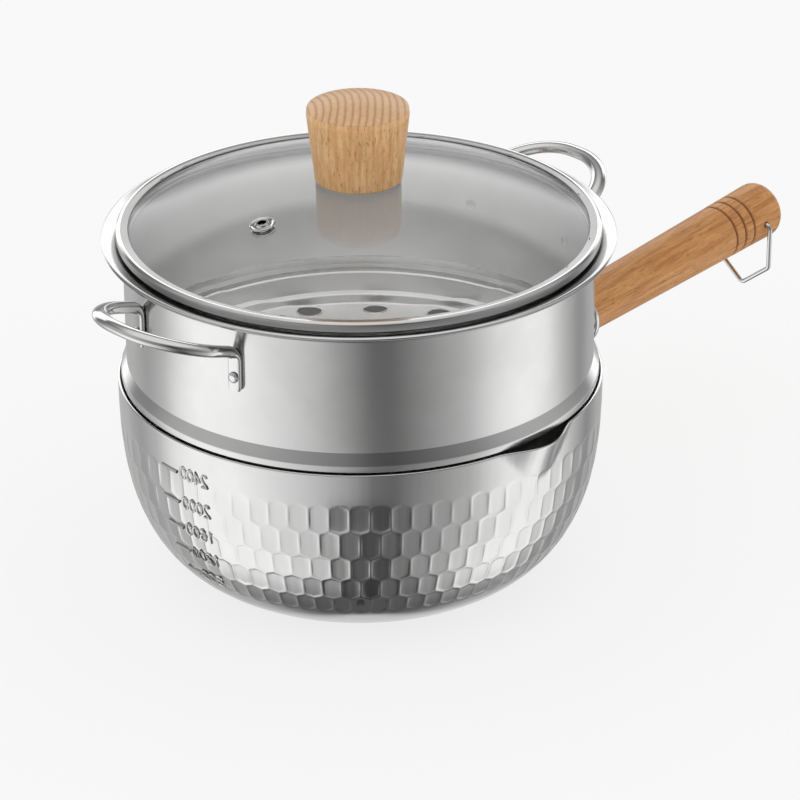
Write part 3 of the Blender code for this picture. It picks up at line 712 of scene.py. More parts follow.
def cut_with(build: Build, cutter: Build) -> Build:
    """Cuts one build out of another.

    Args:
        build: The solid, which is used up.
        cutter: What is taken away, which is used up too.

    Returns:
        What is left.
    """
    things = []
    for name, source in (("solid", build), ("cutter", cutter)):
        mesh = bpy.data.meshes.new(name)
        bmesh.ops.recalc_face_normals(source, faces=source.faces)
        source.to_mesh(mesh)
        source.free()
        things.append(place_object(name, mesh))
    modifier = things[0].modifiers.new("cut", "BOOLEAN")
    modifier.operation = "DIFFERENCE"
    modifier.solver = "EXACT"
    modifier.object = things[1]
    graph = bpy.context.evaluated_depsgraph_get()
    mesh = bpy.data.meshes.new_from_object(things[0].evaluated_get(graph))
    left = build_from(mesh)
    for thing in things:
        shape = thing.data
        bpy.data.objects.remove(thing, do_unlink=True)
        bpy.data.meshes.remove(shape)
    return left


def round_bar(radius: float, length: float, place: Matrix, segments: int = 32) -> Build:
    """A plain bar along local Z, used as a drill."""
    build = bmesh.new()
    bmesh.ops.create_cone(build, cap_ends=True, segments=segments, radius1=radius, radius2=radius,
                          depth=length, matrix=place)
    return build


@dataclass
class Fasteners:
    """Rivets and screws, which other assemblies place.

    Args:
        rivet_head: Height of a rivet's head.
        shank: Radius of a rivet's shank.
        columns: Steps round a head.
    """

    rivet_head: float = 1.1
    shank: float = 1.5
    columns: int = 40

    def rivet(self, name: str, place: Matrix, grip: float, head: float, body: Body, tail: float = 1.1) -> None:
        """Adds a rivet with a low domed head outside and a flat one inside.

        Args:
            name: The CAD node that it stands for.
            place: The spot on the outer face, with local Z outwards.
            grip: Thickness that it holds.
            head: Radius of its heads.
            body: The body that it rides on.
            tail: Height of the flat head.
        """
        top = FIT + self.rivet_head
        low = -grip - FIT
        corners = [
            Corner(0, top), Corner(head * 0.5, top, head * 0.6), Corner(head, FIT + 0.45, 0.3),
            Corner(head, FIT, 0.1), Corner(self.shank, FIT, 0.05), Corner(self.shank, low, 0.05),
            Corner(head, low, 0.1), Corner(head * 0.92, low - tail, tail * 0.4),
            Corner(0, low - tail),
        ]
        build = turned(bent_line(corners), self.columns, place)
        keep(f"{name}_domed", build, POLISHED, body, Slot.POLISHED, name)

    def crossed(self, build: Build, place: Matrix, reach: float, depth: float) -> Build:
        """Cuts a cross recess in a head whose face is at the place, with local Z outwards.

        Args:
            build: The screw.
            place: Middle of the head's face.
            reach: Half the length of each slot.
            depth: How deep the recess is.

        Returns:
            The screw with its recess.
        """
        for quarter in (0, 1):
            slot = bmesh.new()
            size = Matrix.Diagonal((2 * reach, reach * 0.42, 2 * depth, 1))
            turn = Matrix.Rotation(TURN / 4 * quarter, 4, "Z")
            bmesh.ops.create_cube(slot, size=1.0, matrix=place @ turn @ size)
            build = cut_with(build, slot)
        return build


@dataclass
class Bowl:
    """The hammered bowl with its two spouts and its fill marks.

    Args:
        radius: Outer radius of the rim.
        height: Height of the rim.
        base: Radius of the flat base.
        sheet: Thickness of the wall.
        wall_power: How late the wall turns in.
        corner_power: How round the turn to the base is.
        cells: Hammered cells in a row.
        row_depths: Depths under the rim of the rows' borders.
        start: Angle in degrees where the cells start.
        tip: How far a border's zigzag swings.
        dent: Depth of a hammered cell.
        ridge: Width of the slope between a cell and its border.
        cell_round: Radius of a cell's corners.
        spout_reach: How far a spout stands out.
        spout_half: Half the width of a spout.
        spout_depth: Depth of a spout under the rim.
    """

    radius: float
    height: float
    base: float = 58.0
    sheet: float = 1.2
    wall_power: float = 2.8
    corner_power: float = 2.1
    cells: int = 76
    row_depths: tuple[float, ...] = (15.3, 28.5, 41.9, 53.9, 65.5, 75.1)
    start: float = -0.8
    tip: float = 0.55
    dent: float = 0.26
    ridge: float = 0.8
    cell_round: float = 2.0
    spout_reach: float = 6.5
    spout_half: float = 26.0
    spout_depth: float = 20.0

    def wall(self, depth: float, sheet: float = 0.0) -> float:
        """Radius of the wall at a depth under the rim; with the sheet it is the inner face."""
        share = min(max(depth / (self.height - sheet), 0.0), 1.0)
        bend = (1 - share**self.wall_power) ** (1 / self.corner_power)
        return self.base + (self.radius - sheet - self.base) * bend

    def outward(self, angle: float, depth: float) -> Vector:
        """The direction square to the wall."""
        lean = (self.wall(depth + 1) - self.wall(depth - 1)) / 2
        return Vector((math.cos(angle), math.sin(angle), lean)).normalized()

    def spot(self, angle: float, depth: float, off: float = 0.0) -> Vector:
        """A point off the outer wall."""
        around = self.wall(depth)
        place = Vector((around * math.cos(angle), around * math.sin(angle), self.height - depth))
        return place + self.outward(angle, depth) * off

    def spout(self, angle: float, depth: float) -> float:
        """How far a spout pushes the wall out: a rounded beak with hollow sides."""
        aside = min(abs(abs(angle) - TURN / 4) * self.radius / self.spout_half, 1.0)
        inward = (1 - aside * aside) ** 2 - depth / self.spout_depth
        return self.spout_reach * max(0.0, inward) ** 1.2

    def row_shares(self) -> list[float]:
        """Where the rows of points lie in a row of cells, closest beside its borders."""
        edge = [0.0, 0.035, 0.075, 0.12, 0.2, 0.35]
        return edge + [0.5] + [1 - share for share in edge[:0:-1]]

    def hammered_depth(self, row: int, share: float, turn: float) -> float:
        """Depth of a point of a row of cells, between its two zigzag borders."""
        phase = turn * self.cells * 2
        swing = 1 - 2 * abs(phase % 2 - 1)
        swing *= self.tip * (1 if row % 2 else -1)
        upper = self.row_depths[row] + swing
        lower = self.row_depths[row + 1] - swing
        return upper + (lower - upper) * share

    def dented(self, row: int, depth: float, turn: float) -> float:
        """How far a hammered cell lies under the wall at a point.

        Args:
            row: The row of cells, from the top.
            depth: The point's depth under the rim.
            turn: The point's angle as a share of a full turn.

        Returns:
            The distance under the wall, less than nothing where a flat cell stands over it.
        """
        offset = 0.5 if row % 2 else 0.0
        place = turn * self.cells + offset
        cell = math.floor(place)
        around = self.wall(depth)
        half = TURN * around / self.cells / 2
        across = (place - cell - 0.5) * 2 * half
        middle = (self.row_depths[row] + self.row_depths[row + 1]) / 2
        long = (self.row_depths[row + 1] - self.row_depths[row]) / 2
        up = middle - depth
        edge = long + self.tip * (1 - 2 * abs(across) / half)
        side_gap = half - abs(across)
        end_gap = (edge - abs(up)) * 0.9
        gap = self.cell_round - math.hypot(max(self.cell_round - side_gap, 0), max(self.cell_round - end_gap, 0))
        lean_across, lean_up = hammer_lean(row, cell % self.cells)
        tilt_across = lean_across * across
        tilt_up = lean_up * up
        flat = 0.8 * across * across / (2 * around) + up * up / 260
        depth_share = smoothstep(gap / self.ridge)
        return depth_share * (self.dent - flat + tilt_across + tilt_up)

    def profile(self) -> tuple[list[Vector], dict[int, tuple[int, float]]]:
        """The outline from the base up the outside, over the rim and down the inside.

        Returns:
            The outline and, for each of its hammered points, the row of cells and the share in it.
        """
        floor = [Vector((0, 0)), Vector((self.base * 0.6, 0)), Vector((self.base - 2, 0))]
        low = self.row_depths[-1]
        shares = (0.006, 0.03, 0.08, 0.16, 0.28, 0.42, 0.56, 0.7, 0.82, 0.92)
        under = [self.height - (self.height - low) * share for share in shares]
        outline = floor + [Vector((self.wall(depth), self.height - depth)) for depth in under]
        hammered = {}
        for row in reversed(range(len(self.row_depths) - 1)):
            for share in reversed(self.row_shares()):
                depth = self.row_depths[row] + (self.row_depths[row + 1] - self.row_depths[row]) * share
                hammered[len(outline)] = (row, share)
                outline.append(Vector((self.wall(depth), self.height - depth)))
        top = self.row_depths[0]
        plain = [top * share for share in (0.93, 0.84, 0.74, 0.63, 0.52, 0.41, 0.3, 0.2, 0.1)]
        outline += [Vector((self.wall(depth), self.height - depth)) for depth in plain]
        middle = self.radius - self.sheet / 2
        for step in range(9):
            angle = TURN / 2 * step / 8
            lip = Vector((math.cos(angle), math.sin(angle))) * self.sheet / 2
            outline.append(Vector((middle, self.height - self.sheet / 2)) + lip)
        deep = self.height - self.sheet
        inner = [deep * share for share in (0.02, 0.06, 0.12, 0.22, 0.4, 0.58, 0.72, 0.84, 0.92, 0.97, 0.993, 1.0)]
        outline += [Vector((self.wall(depth, self.sheet), self.height - depth)) for depth in inner]
        outline.append(Vector((0, self.sheet)))
        return outline, hammered

    def build_body(self) -> Build:
        """Spins the outline, then shapes the cells and the spouts point by point."""
        clusters = (0.0, 0.06, 0.14, 0.36, 0.44, 0.5, 0.56, 0.64, 0.86, 0.94)
        columns = self.cells * len(clusters)
        outline, hammered = self.profile()
        build = bmesh.new()
        marks = build.verts.layers.int.new("outline")
        corners = [build.verts.new((point.x, 0, point.y)) for point in outline]
        for index, corner in enumerate(corners):
            corner[marks] = index
        edges = [build.edges.new(pair) for pair in zip(corners, corners[1:])]
        spin_whole(build, corners + edges, columns)
        for vert in build.verts:
            if vert.co.xy.length < WELD:
                continue
            step = round((math.atan2(vert.co.y, vert.co.x) % TURN) / TURN * columns) % columns
            cell, place_in_cell = divmod(step, len(clusters))
            turn = (cell + clusters[place_in_cell]) / self.cells
            index = vert[marks]
            depth = self.height - vert.co.z
            around = vert.co.xy.length
            if index in hammered:
                row, share = hammered[index]
                depth = self.hammered_depth(row, share, turn)
                around = self.wall(depth)
                sunk = self.dented(row, depth, turn)
            else:
                sunk = 0.0
            angle = turn * TURN + math.radians(self.start)
            signed = angle if angle <= TURN / 2 else angle - TURN
            place = Vector((around * math.cos(angle), around * math.sin(angle), self.height - depth))
            place -= self.outward(angle, depth) * sunk
            place += Vector((math.cos(angle), math.sin(angle), 0)) * self.spout(signed, max(depth, 0.0))
            vert.co = place
        bmesh.ops.remove_doubles(build, verts=build.verts, dist=COARSE_WELD)
        bmesh.ops.recalc_face_normals(build, faces=build.faces)
        return build

    def make(self) -> None:
        """Adds the bowl and its marks."""
        body = keep("bowl_body", self.build_body(), HAMMERED, Body.POT, Slot.HAMMERED, "bowl", sharp=60)
        # Painted light: the bowl's inward faces get the brightened inside steel.
        body.data.materials.append(INSIDE_STEEL_WITH_PAINTED_LIGHT)
        for face in body.data.polygons:
            if face.center.z > self.sheet / 2 * MM and face.normal.xy.dot(face.center.xy) < -WELD * MM:
                face.material_index = 1
        FillMarks(self).make()


# The strokes of each numeral in a cell one high and 0.6 wide, read from the left
NUMERALS: dict[str, list[list[tuple[float, float]]]] = {
    "0": [[(0.3, 1.0), (0.08, 0.8), (0.03, 0.5), (0.08, 0.2), (0.3, 0.0), (0.52, 0.2), (0.57, 0.5),
           (0.52, 0.8), (0.3, 1.0)]],
    "1": [[(0.12, 0.8), (0.34, 1.0), (0.34, 0.0)]],
    "2": [[(0.05, 0.8), (0.16, 0.97), (0.4, 0.98), (0.54, 0.78), (0.44, 0.52), (0.05, 0.0), (0.57, 0.0)]],
    "4": [[(0.42, 0.0), (0.42, 1.0), (0.03, 0.3), (0.58, 0.3)]],
    "6": [[(0.5, 0.9), (0.32, 1.0), (0.12, 0.8), (0.04, 0.4), (0.12, 0.1), (0.32, 0.0), (0.52, 0.12),
           (0.56, 0.35), (0.42, 0.56), (0.2, 0.55), (0.06, 0.36)]],
    "8": [[(0.3, 0.54), (0.1, 0.68), (0.1, 0.88), (0.3, 1.0), (0.5, 0.88), (0.5, 0.68), (0.3, 0.54),
           (0.06, 0.4), (0.05, 0.14), (0.3, 0.0), (0.55, 0.14), (0.54, 0.4), (0.3, 0.54)]],
}


@dataclass
class FillMarks:
    """The fill marks: ticks and plain numbers that are pressed from inside, so mirrored here.

    Args:
        bowl: The bowl that carries them.
        depths: Depth of each tick under the rim, with its number.
        tick: Angles in degrees where a tick starts and ends.
        last: Angle in degrees of the number's last digit.
        digit: Height of a digit.
        lift: How far the digits' middle lies over the tick.
        pitch: From digit to digit.
        stroke: Radius of a digit's pressed line.
        tick_stroke: Radius of a tick.
    """

    bowl: Bowl
    depths: tuple[tuple[float, str], ...] = (
        (15.3, "2400"), (30.5, "2000"), (44.2, "1600"), (57.2, "1200"), (70.6, "800"))
    tick: tuple[float, float] = (171.7, 177.2)
    last: float = 178.3
    digit: float = 6.1
    lift: float = 0.8
    pitch: float = 4.3
    stroke: float = 0.56
    tick_stroke: float = 0.75

    def line(self, points: Sequence[tuple[float, float]], stroke: float) -> Build:
        """A pressed line of a radius, through points given as an angle and a depth."""
        spaced = []
        for (angle, depth), (angle_on, depth_on) in zip(points, points[1:]):
            for step in range(4):
                share = step / 4
                spaced.append((angle + (angle_on - angle) * share, depth + (depth_on - depth) * share))
        spaced.append(points[-1])
        path = [self.bowl.spot(angle, depth, stroke * 0.15) for angle, depth in spaced]
        return rod_mesh(path, stroke, 2)

    def make(self) -> None:
        """Adds all marks as one piece."""
        build = bmesh.new()
        for depth, number in self.depths:
            around = self.bowl.wall(depth)
            tick = [(math.radians(self.tick[0]), depth), (math.radians(self.tick[1]), depth)]
            strokes = [(tick, self.tick_stroke)]
            for place, figure in enumerate(reversed(number)):
                start = math.radians(self.last) + (place * self.pitch + 0.6 * self.digit) / around
                for stroke in NUMERALS[figure]:
                    points = [(start - x * self.digit / around, depth - self.lift + (0.5 - y) * self.digit)
                              for x, y in stroke]
                    strokes.append((points, self.stroke))
            for points, stroke in strokes:
                add_part(build, self.line(points, stroke))
        keep("fill_marks", build, HAMMERED, Body.POT, Slot.HAMMERED)


@dataclass
class Handle:
    """The steel socket on the bowl, the turned wood in it and what holds them.

    Args:
        bowl: The bowl that carries it.
        drop: Depth of the axis under the rim, at the wall.
        tilt: How far the handle rises, in degrees.
        socket: Length of the socket.
        sheet: Thickness of the socket.
        wood: Length of wood outside the socket.
        tang: Length of wood inside it.
        root: Radius of the wood at the socket.
        end: Radius of the wood at its end.
        end_round: Radius that rounds the wood's end.
        grooves: Distances from the end to the burnt grooves.
        hole_from_end: Distance from the end to the cross hole.
        hole: Radius of the cross hole.
        plate: Half the width and height of the socket's plate.
        plate_sheet: Thickness of the plate.
        rivet_side: Distance of a plate rivet from the axis.
        screw_back: Distance of the screw from the socket's mouth.
        screw: Radius of the screw.
        screw_head: Radius and height of its head.
        screw_length: How far it goes in.
    """

    bowl: Bowl
    drop: float = 27.0
    tilt: float = 4.5
    socket: float = 40.0
    sheet: float = 1.2
    wood: float = 141.5
    tang: float = 31.0
    root: float = 11.8
    end: float = 14.25
    end_round: float = 5.5
    grooves: tuple[float, ...] = (36.4, 29.7, 23.0)
    hole_from_end: float = 14.7
    hole: float = 1.55
    plate: tuple[float, float] = (26.0, 17.5)
    plate_sheet: float = 1.5
    rivet_side: float = 20.5
    screw_back: float = 11.0
    screw: float = 1.2
    screw_head: tuple[float, float] = (2.6, 1.3)
    screw_length: float = 9.0

    def place(self, along: float = 0.0) -> Matrix:
        """A placement on the axis with its local Z away from the bowl."""
        tilt = math.radians(self.tilt)
        start = Vector((self.bowl.wall(self.drop), 0, self.bowl.height - self.drop))
        spot = start + Vector((math.cos(tilt), 0, math.sin(tilt))) * along
        return Matrix.Translation(spot) @ Matrix.Rotation(TURN / 4 - tilt, 4, "Y")

    def pin(self) -> Vector:
        """The middle of the cross hole."""
        return self.place(self.socket + self.wood - self.hole_from_end).to_translation()

    def make_socket(self) -> None:
        """Adds the socket, which flares into its plate and ends in a rolled mouth."""
        bore = self.root + FIT
        outer = bore + self.sheet
        mouth = self.socket
        corners = [
            Corner(bore, 4.0, 0.5), Corner(bore, mouth - 0.2, 0.6), Corner(outer + 1.9, mouth, 1.5),
            Corner(outer + 1.9, mouth - 3.4, 1.5), Corner(outer, mouth - 3.7, 0.7),
            Corner(outer, 8.0, 7.0), Corner(outer + 4.4, 1.4, 0.5), Corner(outer + 4.4, -1.0, 0.3),
            Corner(bore, -1.0, 0.3),
        ]
        build = turned(bent_ring(corners, 8), 96, self.place())
        build = cut_with(build, round_bar(1.5, 6.0, self.screw_place()))
        keep("socket_tube", build, POLISHED, Body.POT, Slot.POLISHED, "handle_socket", sharp=38)

    def make_plate(self) -> None:
        """Adds the oval plate, bent to the bowl's wall."""
        wide, high = self.plate
        thick = self.plate_sheet
        corners = [
            Corner(0, 0), Corner(1.0, 0, 0.02), Corner(1.0, thick * 0.6, 0.04), Corner(0.955, thick, 0.03),
            Corner(0, thick),
        ]
        rim = bent_line(corners, 3)
        shares = (0.1, 0.2, 0.3, 0.4, 0.5, 0.6, 0.7, 0.8, 0.9)
        inner = [Vector((share, thick)) for share in reversed(shares)]
        under = [Vector((share, 0)) for share in shares]
        build = turned([rim[0], *under, *rim[1:-1], *inner, rim[-1]], 96)
        for vert in build.verts:
            angle = vert.co.x * wide / self.bowl.radius
            depth = self.drop - vert.co.y * high
            vert.co = self.bowl.spot(angle, depth, FIT + vert.co.z)
        bmesh.ops.recalc_face_normals(build, faces=build.faces)
        keep("socket_plate", build, POLISHED, Body.POT, Slot.POLISHED)

    def make_rivets(self, fasteners: Fasteners) -> None:
        """Adds the two rivets of the plate."""
        for side in Side:
            angle = side.value * self.rivet_side / self.bowl.radius
            spot = self.bowl.spot(angle, self.drop, FIT + self.plate_sheet)
            place = facing(spot, self.bowl.outward(angle, self.drop))
            grip = self.plate_sheet + 2 * FIT + self.bowl.sheet
            fasteners.rivet(f"socket_rivet_{side.label}", place, grip, 3.8, Body.POT)

    def screw_place(self) -> Matrix:
        """Under the socket, with local Z straight up into the wood."""
        side = Matrix.Translation((self.root + FIT + self.sheet, 0, 0)) @ Matrix.Rotation(-TURN / 4, 4, "Y")
        return self.place(self.socket - self.screw_back) @ side

    def make_screw(self, fasteners: Fasteners) -> None:
        """Adds the short screw that keeps the wood in."""
        wide, high = self.screw_head
        face = -FIT - high
        corners = [
            Corner(0, self.screw_length), Corner(0.4, self.screw_length - 0.6, 0.1),
            Corner(self.screw, self.screw_length - 2.4, 0.3), Corner(self.screw, -FIT, 0.05), Corner(wide, -FIT, 0.15),
            Corner(wide - 0.4, face, 0.7), Corner(0, face),
        ]
        build = turned(bent_line(corners), 40, self.screw_place())
        face = self.screw_place() @ Matrix.Translation((0, 0, face))
        build = fasteners.crossed(build, face, 1.3, 0.7)
        keep("handle_screw_crossed", build, POLISHED, Body.POT, Slot.POLISHED, "handle_screw", sharp=35)

    def wood_radius(self, along: float) -> float:
        """Radius of the tapered wood at a distance along the axis."""
        taper = (self.end - self.root) / (self.wood - self.end_round)
        return self.root + taper * (along - self.socket)

    def make_wood(self) -> None:
        """Adds the turned wood with burnt grooves and the cross hole."""
        end = self.socket + self.wood
        swell = [Corner(self.root, self.socket - self.tang, 0.5), Corner(self.root, self.socket)]
        middles = [end - back for back in self.grooves]
        for middle in middles:
            for step, depth, bend in ((-1.0, 0.0, 0.3), (0.0, 0.85, 0.3), (1.0, 0.0, 0.3)):
                swell.append(Corner(self.wood_radius(middle + step) - depth, middle + step, bend))
        swell += [Corner(self.wood_radius(end), end, self.end_round), Corner(0, end + 0.5)]
        line = bent_line([Corner(0, self.socket - self.tang), *swell], 7)
        build = turned(line, 96, self.place())
        across = Matrix.Translation(self.pin()) @ Matrix.Rotation(TURN / 4, 4, "X")
        build = cut_with(build, round_bar(self.hole, 4 * self.end, across))
        burnt = build.verts.layers.float.new("burnt")
        inverse = self.place().inverted()
        for vert in build.verts:
            local = inverse @ vert.co
            reach = min(abs(local.z - middle) for middle in middles)
            vert[burnt] = (1 - smoothstep((reach - 0.3) / 0.6)) * 0.85
        finish = Beech("Beech handle", self.place(), 0.15, (0.42, 0.160, 0.040), (0.67, 0.335, 0.112)).make()
        keep("handle_wood", build, finish, Body.POT, Slot.BEECH, "wooden_handle", sharp=50)

    def make(self, fasteners: Fasteners) -> None:
        """Adds every piece of the handle."""
        self.make_socket()
        self.make_plate()
        self.make_rivets(fasteners)
        self.make_screw(fasteners)
        self.make_wood()


@dataclass
class HangingRing:
    """The wire ring with a pointed foot.

    Args:
        pin: The middle of the cross hole.
        side: Distance of a leg from the middle.
        wire: Radius of the wire.
        leg: Length of a leg.
        point: How far the foot comes to a point.
        tongue: Length of wire inside the wood.
        bend: Radius of the wire's bends.
    """

    pin: Vector
    side: float = 16.45
    wire: float = 1.15
    leg: float = 22.8
    point: float = 13.0
    tongue: float = 8.0
    bend: float = 2.6

    def make(self) -> None:
        """Adds the ring, hanging straight down."""
        inner = self.side - self.tongue
        shape = [(-inner, 0), (-self.side, 0), (-self.side, -self.leg), (0, -self.leg - self.point),
                 (self.side, -self.leg), (self.side, 0), (inner, 0)]
        corners = [self.pin + Vector((0, across, up)) for across, up in shape]
        build = rod_mesh(rounded_path(corners, self.bend, 10), self.wire, 6)
        keep("ring_wire", build, CHROME, Body.RING, Slot.WIRE, "hanging_ring")


@dataclass
class Steamer:
    """The steamer insert.

    Args:
        rim: Height of the bowl's rim.
        wall: Radius of the wall's middle line.
        rise: Height of the flange over the bowl's rim.
        flange: Radius of the hem's middle line.
        sheet: Thickness of the sheet.
        floor: Depth of the floor's middle line under the rim.
        hole: Radius of a steam hole.
        rings: Number of holes in each ring, and the ring's radius.
        columns: Steps round the insert.
    """

    rim: float
    wall: float = 105.4
    rise: float = 67.8
    flange: float = 114.8
    sheet: float = 0.8
    floor: float = 14.7
    hole: float = 5.7
    rings: tuple[tuple[int, float], ...] = ((18, 91.0), (12, 71.0), (6, 42.0))
    columns: int = 200

    def middle_line(self) -> list[Corner]:
        """The middle line of the sheet, from the hem's free end to the middle of the floor."""
        top = self.rise - self.sheet / 2
        rows = [
            (self.flange - 2.2, top - 1.7, 0.0), (self.flange, top - 1.7, 0.82), (self.flange, top, 0.82),
            (self.wall, top - 2.9, 1.4), (self.wall, 8.7, 0.25), (108.0, 3.6, 2.6), (108.1, 0.62, 0.35),
            (103.2, 0.7, 0.9), (103.0, -9.2, 0.8), (100.4, -9.8, 0.8), (100.2, -self.floor, 1.4),
            (88.0, -self.floor, 0.0), (60.0, -self.floor, 0.0), (0.0, -self.floor, 0.0),
        ]
        return raised(self.rim, rows)

    def hole_places(self) -> list[Matrix]:
        """Placements in the middles of all steam holes."""
        places = []
        for count, radius in self.rings:
            for index in range(count):
                angle = TURN * index / count
                spot = Vector((radius * math.cos(angle), radius * math.sin(angle), self.rim - self.floor))
                places.append(Matrix.Translation(spot))
        return places

    def make_shell(self) -> None:
        """Adds the sheet with its punched holes."""
        build = turned(sheet_outline(bent_line(self.middle_line(), 7), self.sheet), self.columns)
        drills = bmesh.new()
        for place in self.hole_places():
            add_part(drills, round_bar(self.hole, 6.0, place, 40))
        build = cut_with(build, drills)
        shell = keep("steamer_shell", build, SATIN, Body.STEAMER, Slot.SATIN, "steamer_insert", sharp=40)
        # Painted light: the low inner faces of the wall and the floor get the brightened inside steel.
        shell.data.materials.append(INSIDE_STEEL_WITH_PAINTED_LIGHT)
        for face in shell.data.polygons:
            low = face.center.z < (self.rise + self.rim - 4.0) * MM and face.center.xy.length < self.wall * MM
            if low and (face.normal.z > 0.5 or face.normal.xy.dot(face.center.xy) < 0):
                face.material_index = 1
        self.make_hole_rims()

    def make_hole_rims(self) -> None:
        """Adds the soft raised lips that the punch leaves round the holes."""
        whole = bmesh.new()
        lip = bent_ring([Corner(self.hole - 0.02, 0.25, 0.2), Corner(self.hole - 0.02, 0.75, 0.2),
                         Corner(self.hole + 0.7, 0.75, 0.3), Corner(self.hole + 0.95, 0.25, 0.05)], 3)
        for place in self.hole_places():
            add_part(whole, turned(lip, 32, place))
        keep("steam_hole_lips", whole, POLISHED, Body.STEAMER, Slot.POLISHED)


@dataclass
class LoopHandle:
    """A loop handle of the steamer: a bent rod with flattened ends.

    Args:
        name: The CAD node that it stands for.
        turn: Angle round the steamer, in degrees.
        rim: Height of the bowl's rim.
        wall: Outer radius of the steamer's wall.
        rod: Radius of the rod.
        reach: Radius that the loop's middle line reaches.
        wide: How many times as wide as thick the rod is at its far side.
        half_spread: Half the distance between the lugs.
        corner: Radius of the loop's outer corners.
        rise: Height of the loop's plane at the wall, over the rim.
        slope: Rise of that plane outwards.
        lug: Height of the lugs' feet over the rim.
        lug_sheet: Thickness of a lug.
        lug_half: Half the width of a lug.
        bend: Size of the bend from lug to loop.
    """

    name: str
    turn: float
    rim: float
    wall: float = 105.8
    rod: float = 2.7
    reach: float = 139.8
    wide: float = 1.33
    half_spread: float = 31.5
    corner: float = 29.0
    rise: float = 52.6
    slope: float = 0.337
    lug: float = 33.3
    lug_sheet: float = 2.2
    lug_half: float = 3.3
    bend: float = 4.5

    @property
    def lug_angle(self) -> float:
        """Angle of a lug from the loop's middle."""
        return math.asin(self.half_spread / (self.wall + self.lug_sheet))

    def plane(self, x: float) -> float:
        """Height of the loop's plane at a distance out."""
        return self.rim + self.rise + self.slope * (x - self.wall)

    def path(self) -> list[Vector]:
        """The rod's middle line, from one foot to the other."""
        middle = self.wall + FIT + self.lug_sheet / 2
        lug_x = middle * math.cos(self.lug_angle)
        lug_y = middle * math.sin(self.lug_angle)
        foot = self.rim + self.lug
        knee = Vector((lug_x, lug_y, self.plane(lug_x)))
        low = knee - Vector((0, 0, self.bend))
        out = Vector((lug_x + self.bend, lug_y, self.plane(lug_x + self.bend)))
        half = [Vector((lug_x, lug_y, foot + (low.z - foot) * step / 12)) for step in range(12)]
        for step in range(9):
            share = step / 8
            half.append(low.lerp(knee, share).lerp(knee.lerp(out, share), share))
        for step in range(17):
            angle = TURN / 4 * (1 - step / 16)
            x = self.reach - self.corner + self.corner * math.cos(angle)
            y = lug_y - self.corner + self.corner * math.sin(angle)
            half.append(Vector((x, y, self.plane(x))))
        return half + [Vector((point.x, -point.y, point.z)) for point in reversed(half)]

    def pressed(self, point: Vector) -> Vector:
        """Where the press leaves a point of the rod: flat, wider and rounded at the foot."""
        share = smoothstep((self.rim + self.rise - point.z) / self.bend)
        middle = self.wall + FIT + self.lug_sheet / 2
        angle = math.atan2(point.y, point.x)
        radius = point.xy.length
        lug = math.copysign(self.lug_angle, point.y)
        foot = min(max((point.z - self.rim - self.lug) / self.lug_half, 0.0), 1.0)
        wide = self.lug_half / self.rod * math.sqrt(1 - (1 - foot) ** 4 * 0.45)
        flat = math.copysign(min(abs(radius - middle) / self.rod * 1.6, 1.0), radius - middle)
        new_radius = radius + (middle + flat * self.lug_sheet / 2 - radius) * share
        new_radius = max(new_radius, self.wall + FIT)
        new_angle = angle + (lug + (angle - lug) * wide - angle) * share
        return Vector((new_radius * math.cos(new_angle), new_radius * math.sin(new_angle), point.z))

    def widen(self, build: Build) -> None:
        """Widens the rod in the loop's plane towards its far side."""
        path = self.path()
        for vert in build.verts:
            middle = min(path, key=lambda point: (point - vert.co).length_squared)
            share = smoothstep((middle.x - self.wall) / self.bend / 3) * (self.wide - 1)
            vert.co.x += (vert.co.x - middle.x) * share
            vert.co.y += (vert.co.y - middle.y) * share

    def make(self, fasteners: Fasteners) -> None:
        """Adds the loop and its two rivets."""
        build = rod_mesh(self.path(), self.rod, 8)
        self.widen(build)
        near = self.wall + self.lug_sheet + self.rod
        for vert in build.verts:
            if vert.co.xy.length < near:
                vert.co = self.pressed(vert.co)
        turn = math.radians(self.turn)
        bmesh.ops.rotate(build, cent=(0, 0, 0), matrix=Matrix.Rotation(turn, 3, "Z"), verts=build.verts)
        bmesh.ops.recalc_face_normals(build, faces=build.faces)
        keep(f"{self.name}_rod", build, POLISHED, Body.STEAMER, Slot.POLISHED, self.name, sharp=55)
        for side in Side:
            angle = turn + side.value * self.lug_angle
            outward = Vector((math.cos(angle), math.sin(angle), 0))
            spot = outward * (self.wall + FIT + self.lug_sheet)
            spot.z = self.rim + self.lug + 6.5
            grip = self.lug_sheet + FIT + 0.8
            fasteners.rivet(f"{self.name}_rivet_{side.label}", facing(spot, outward), grip, 2.5, Body.STEAMER, 0.2)


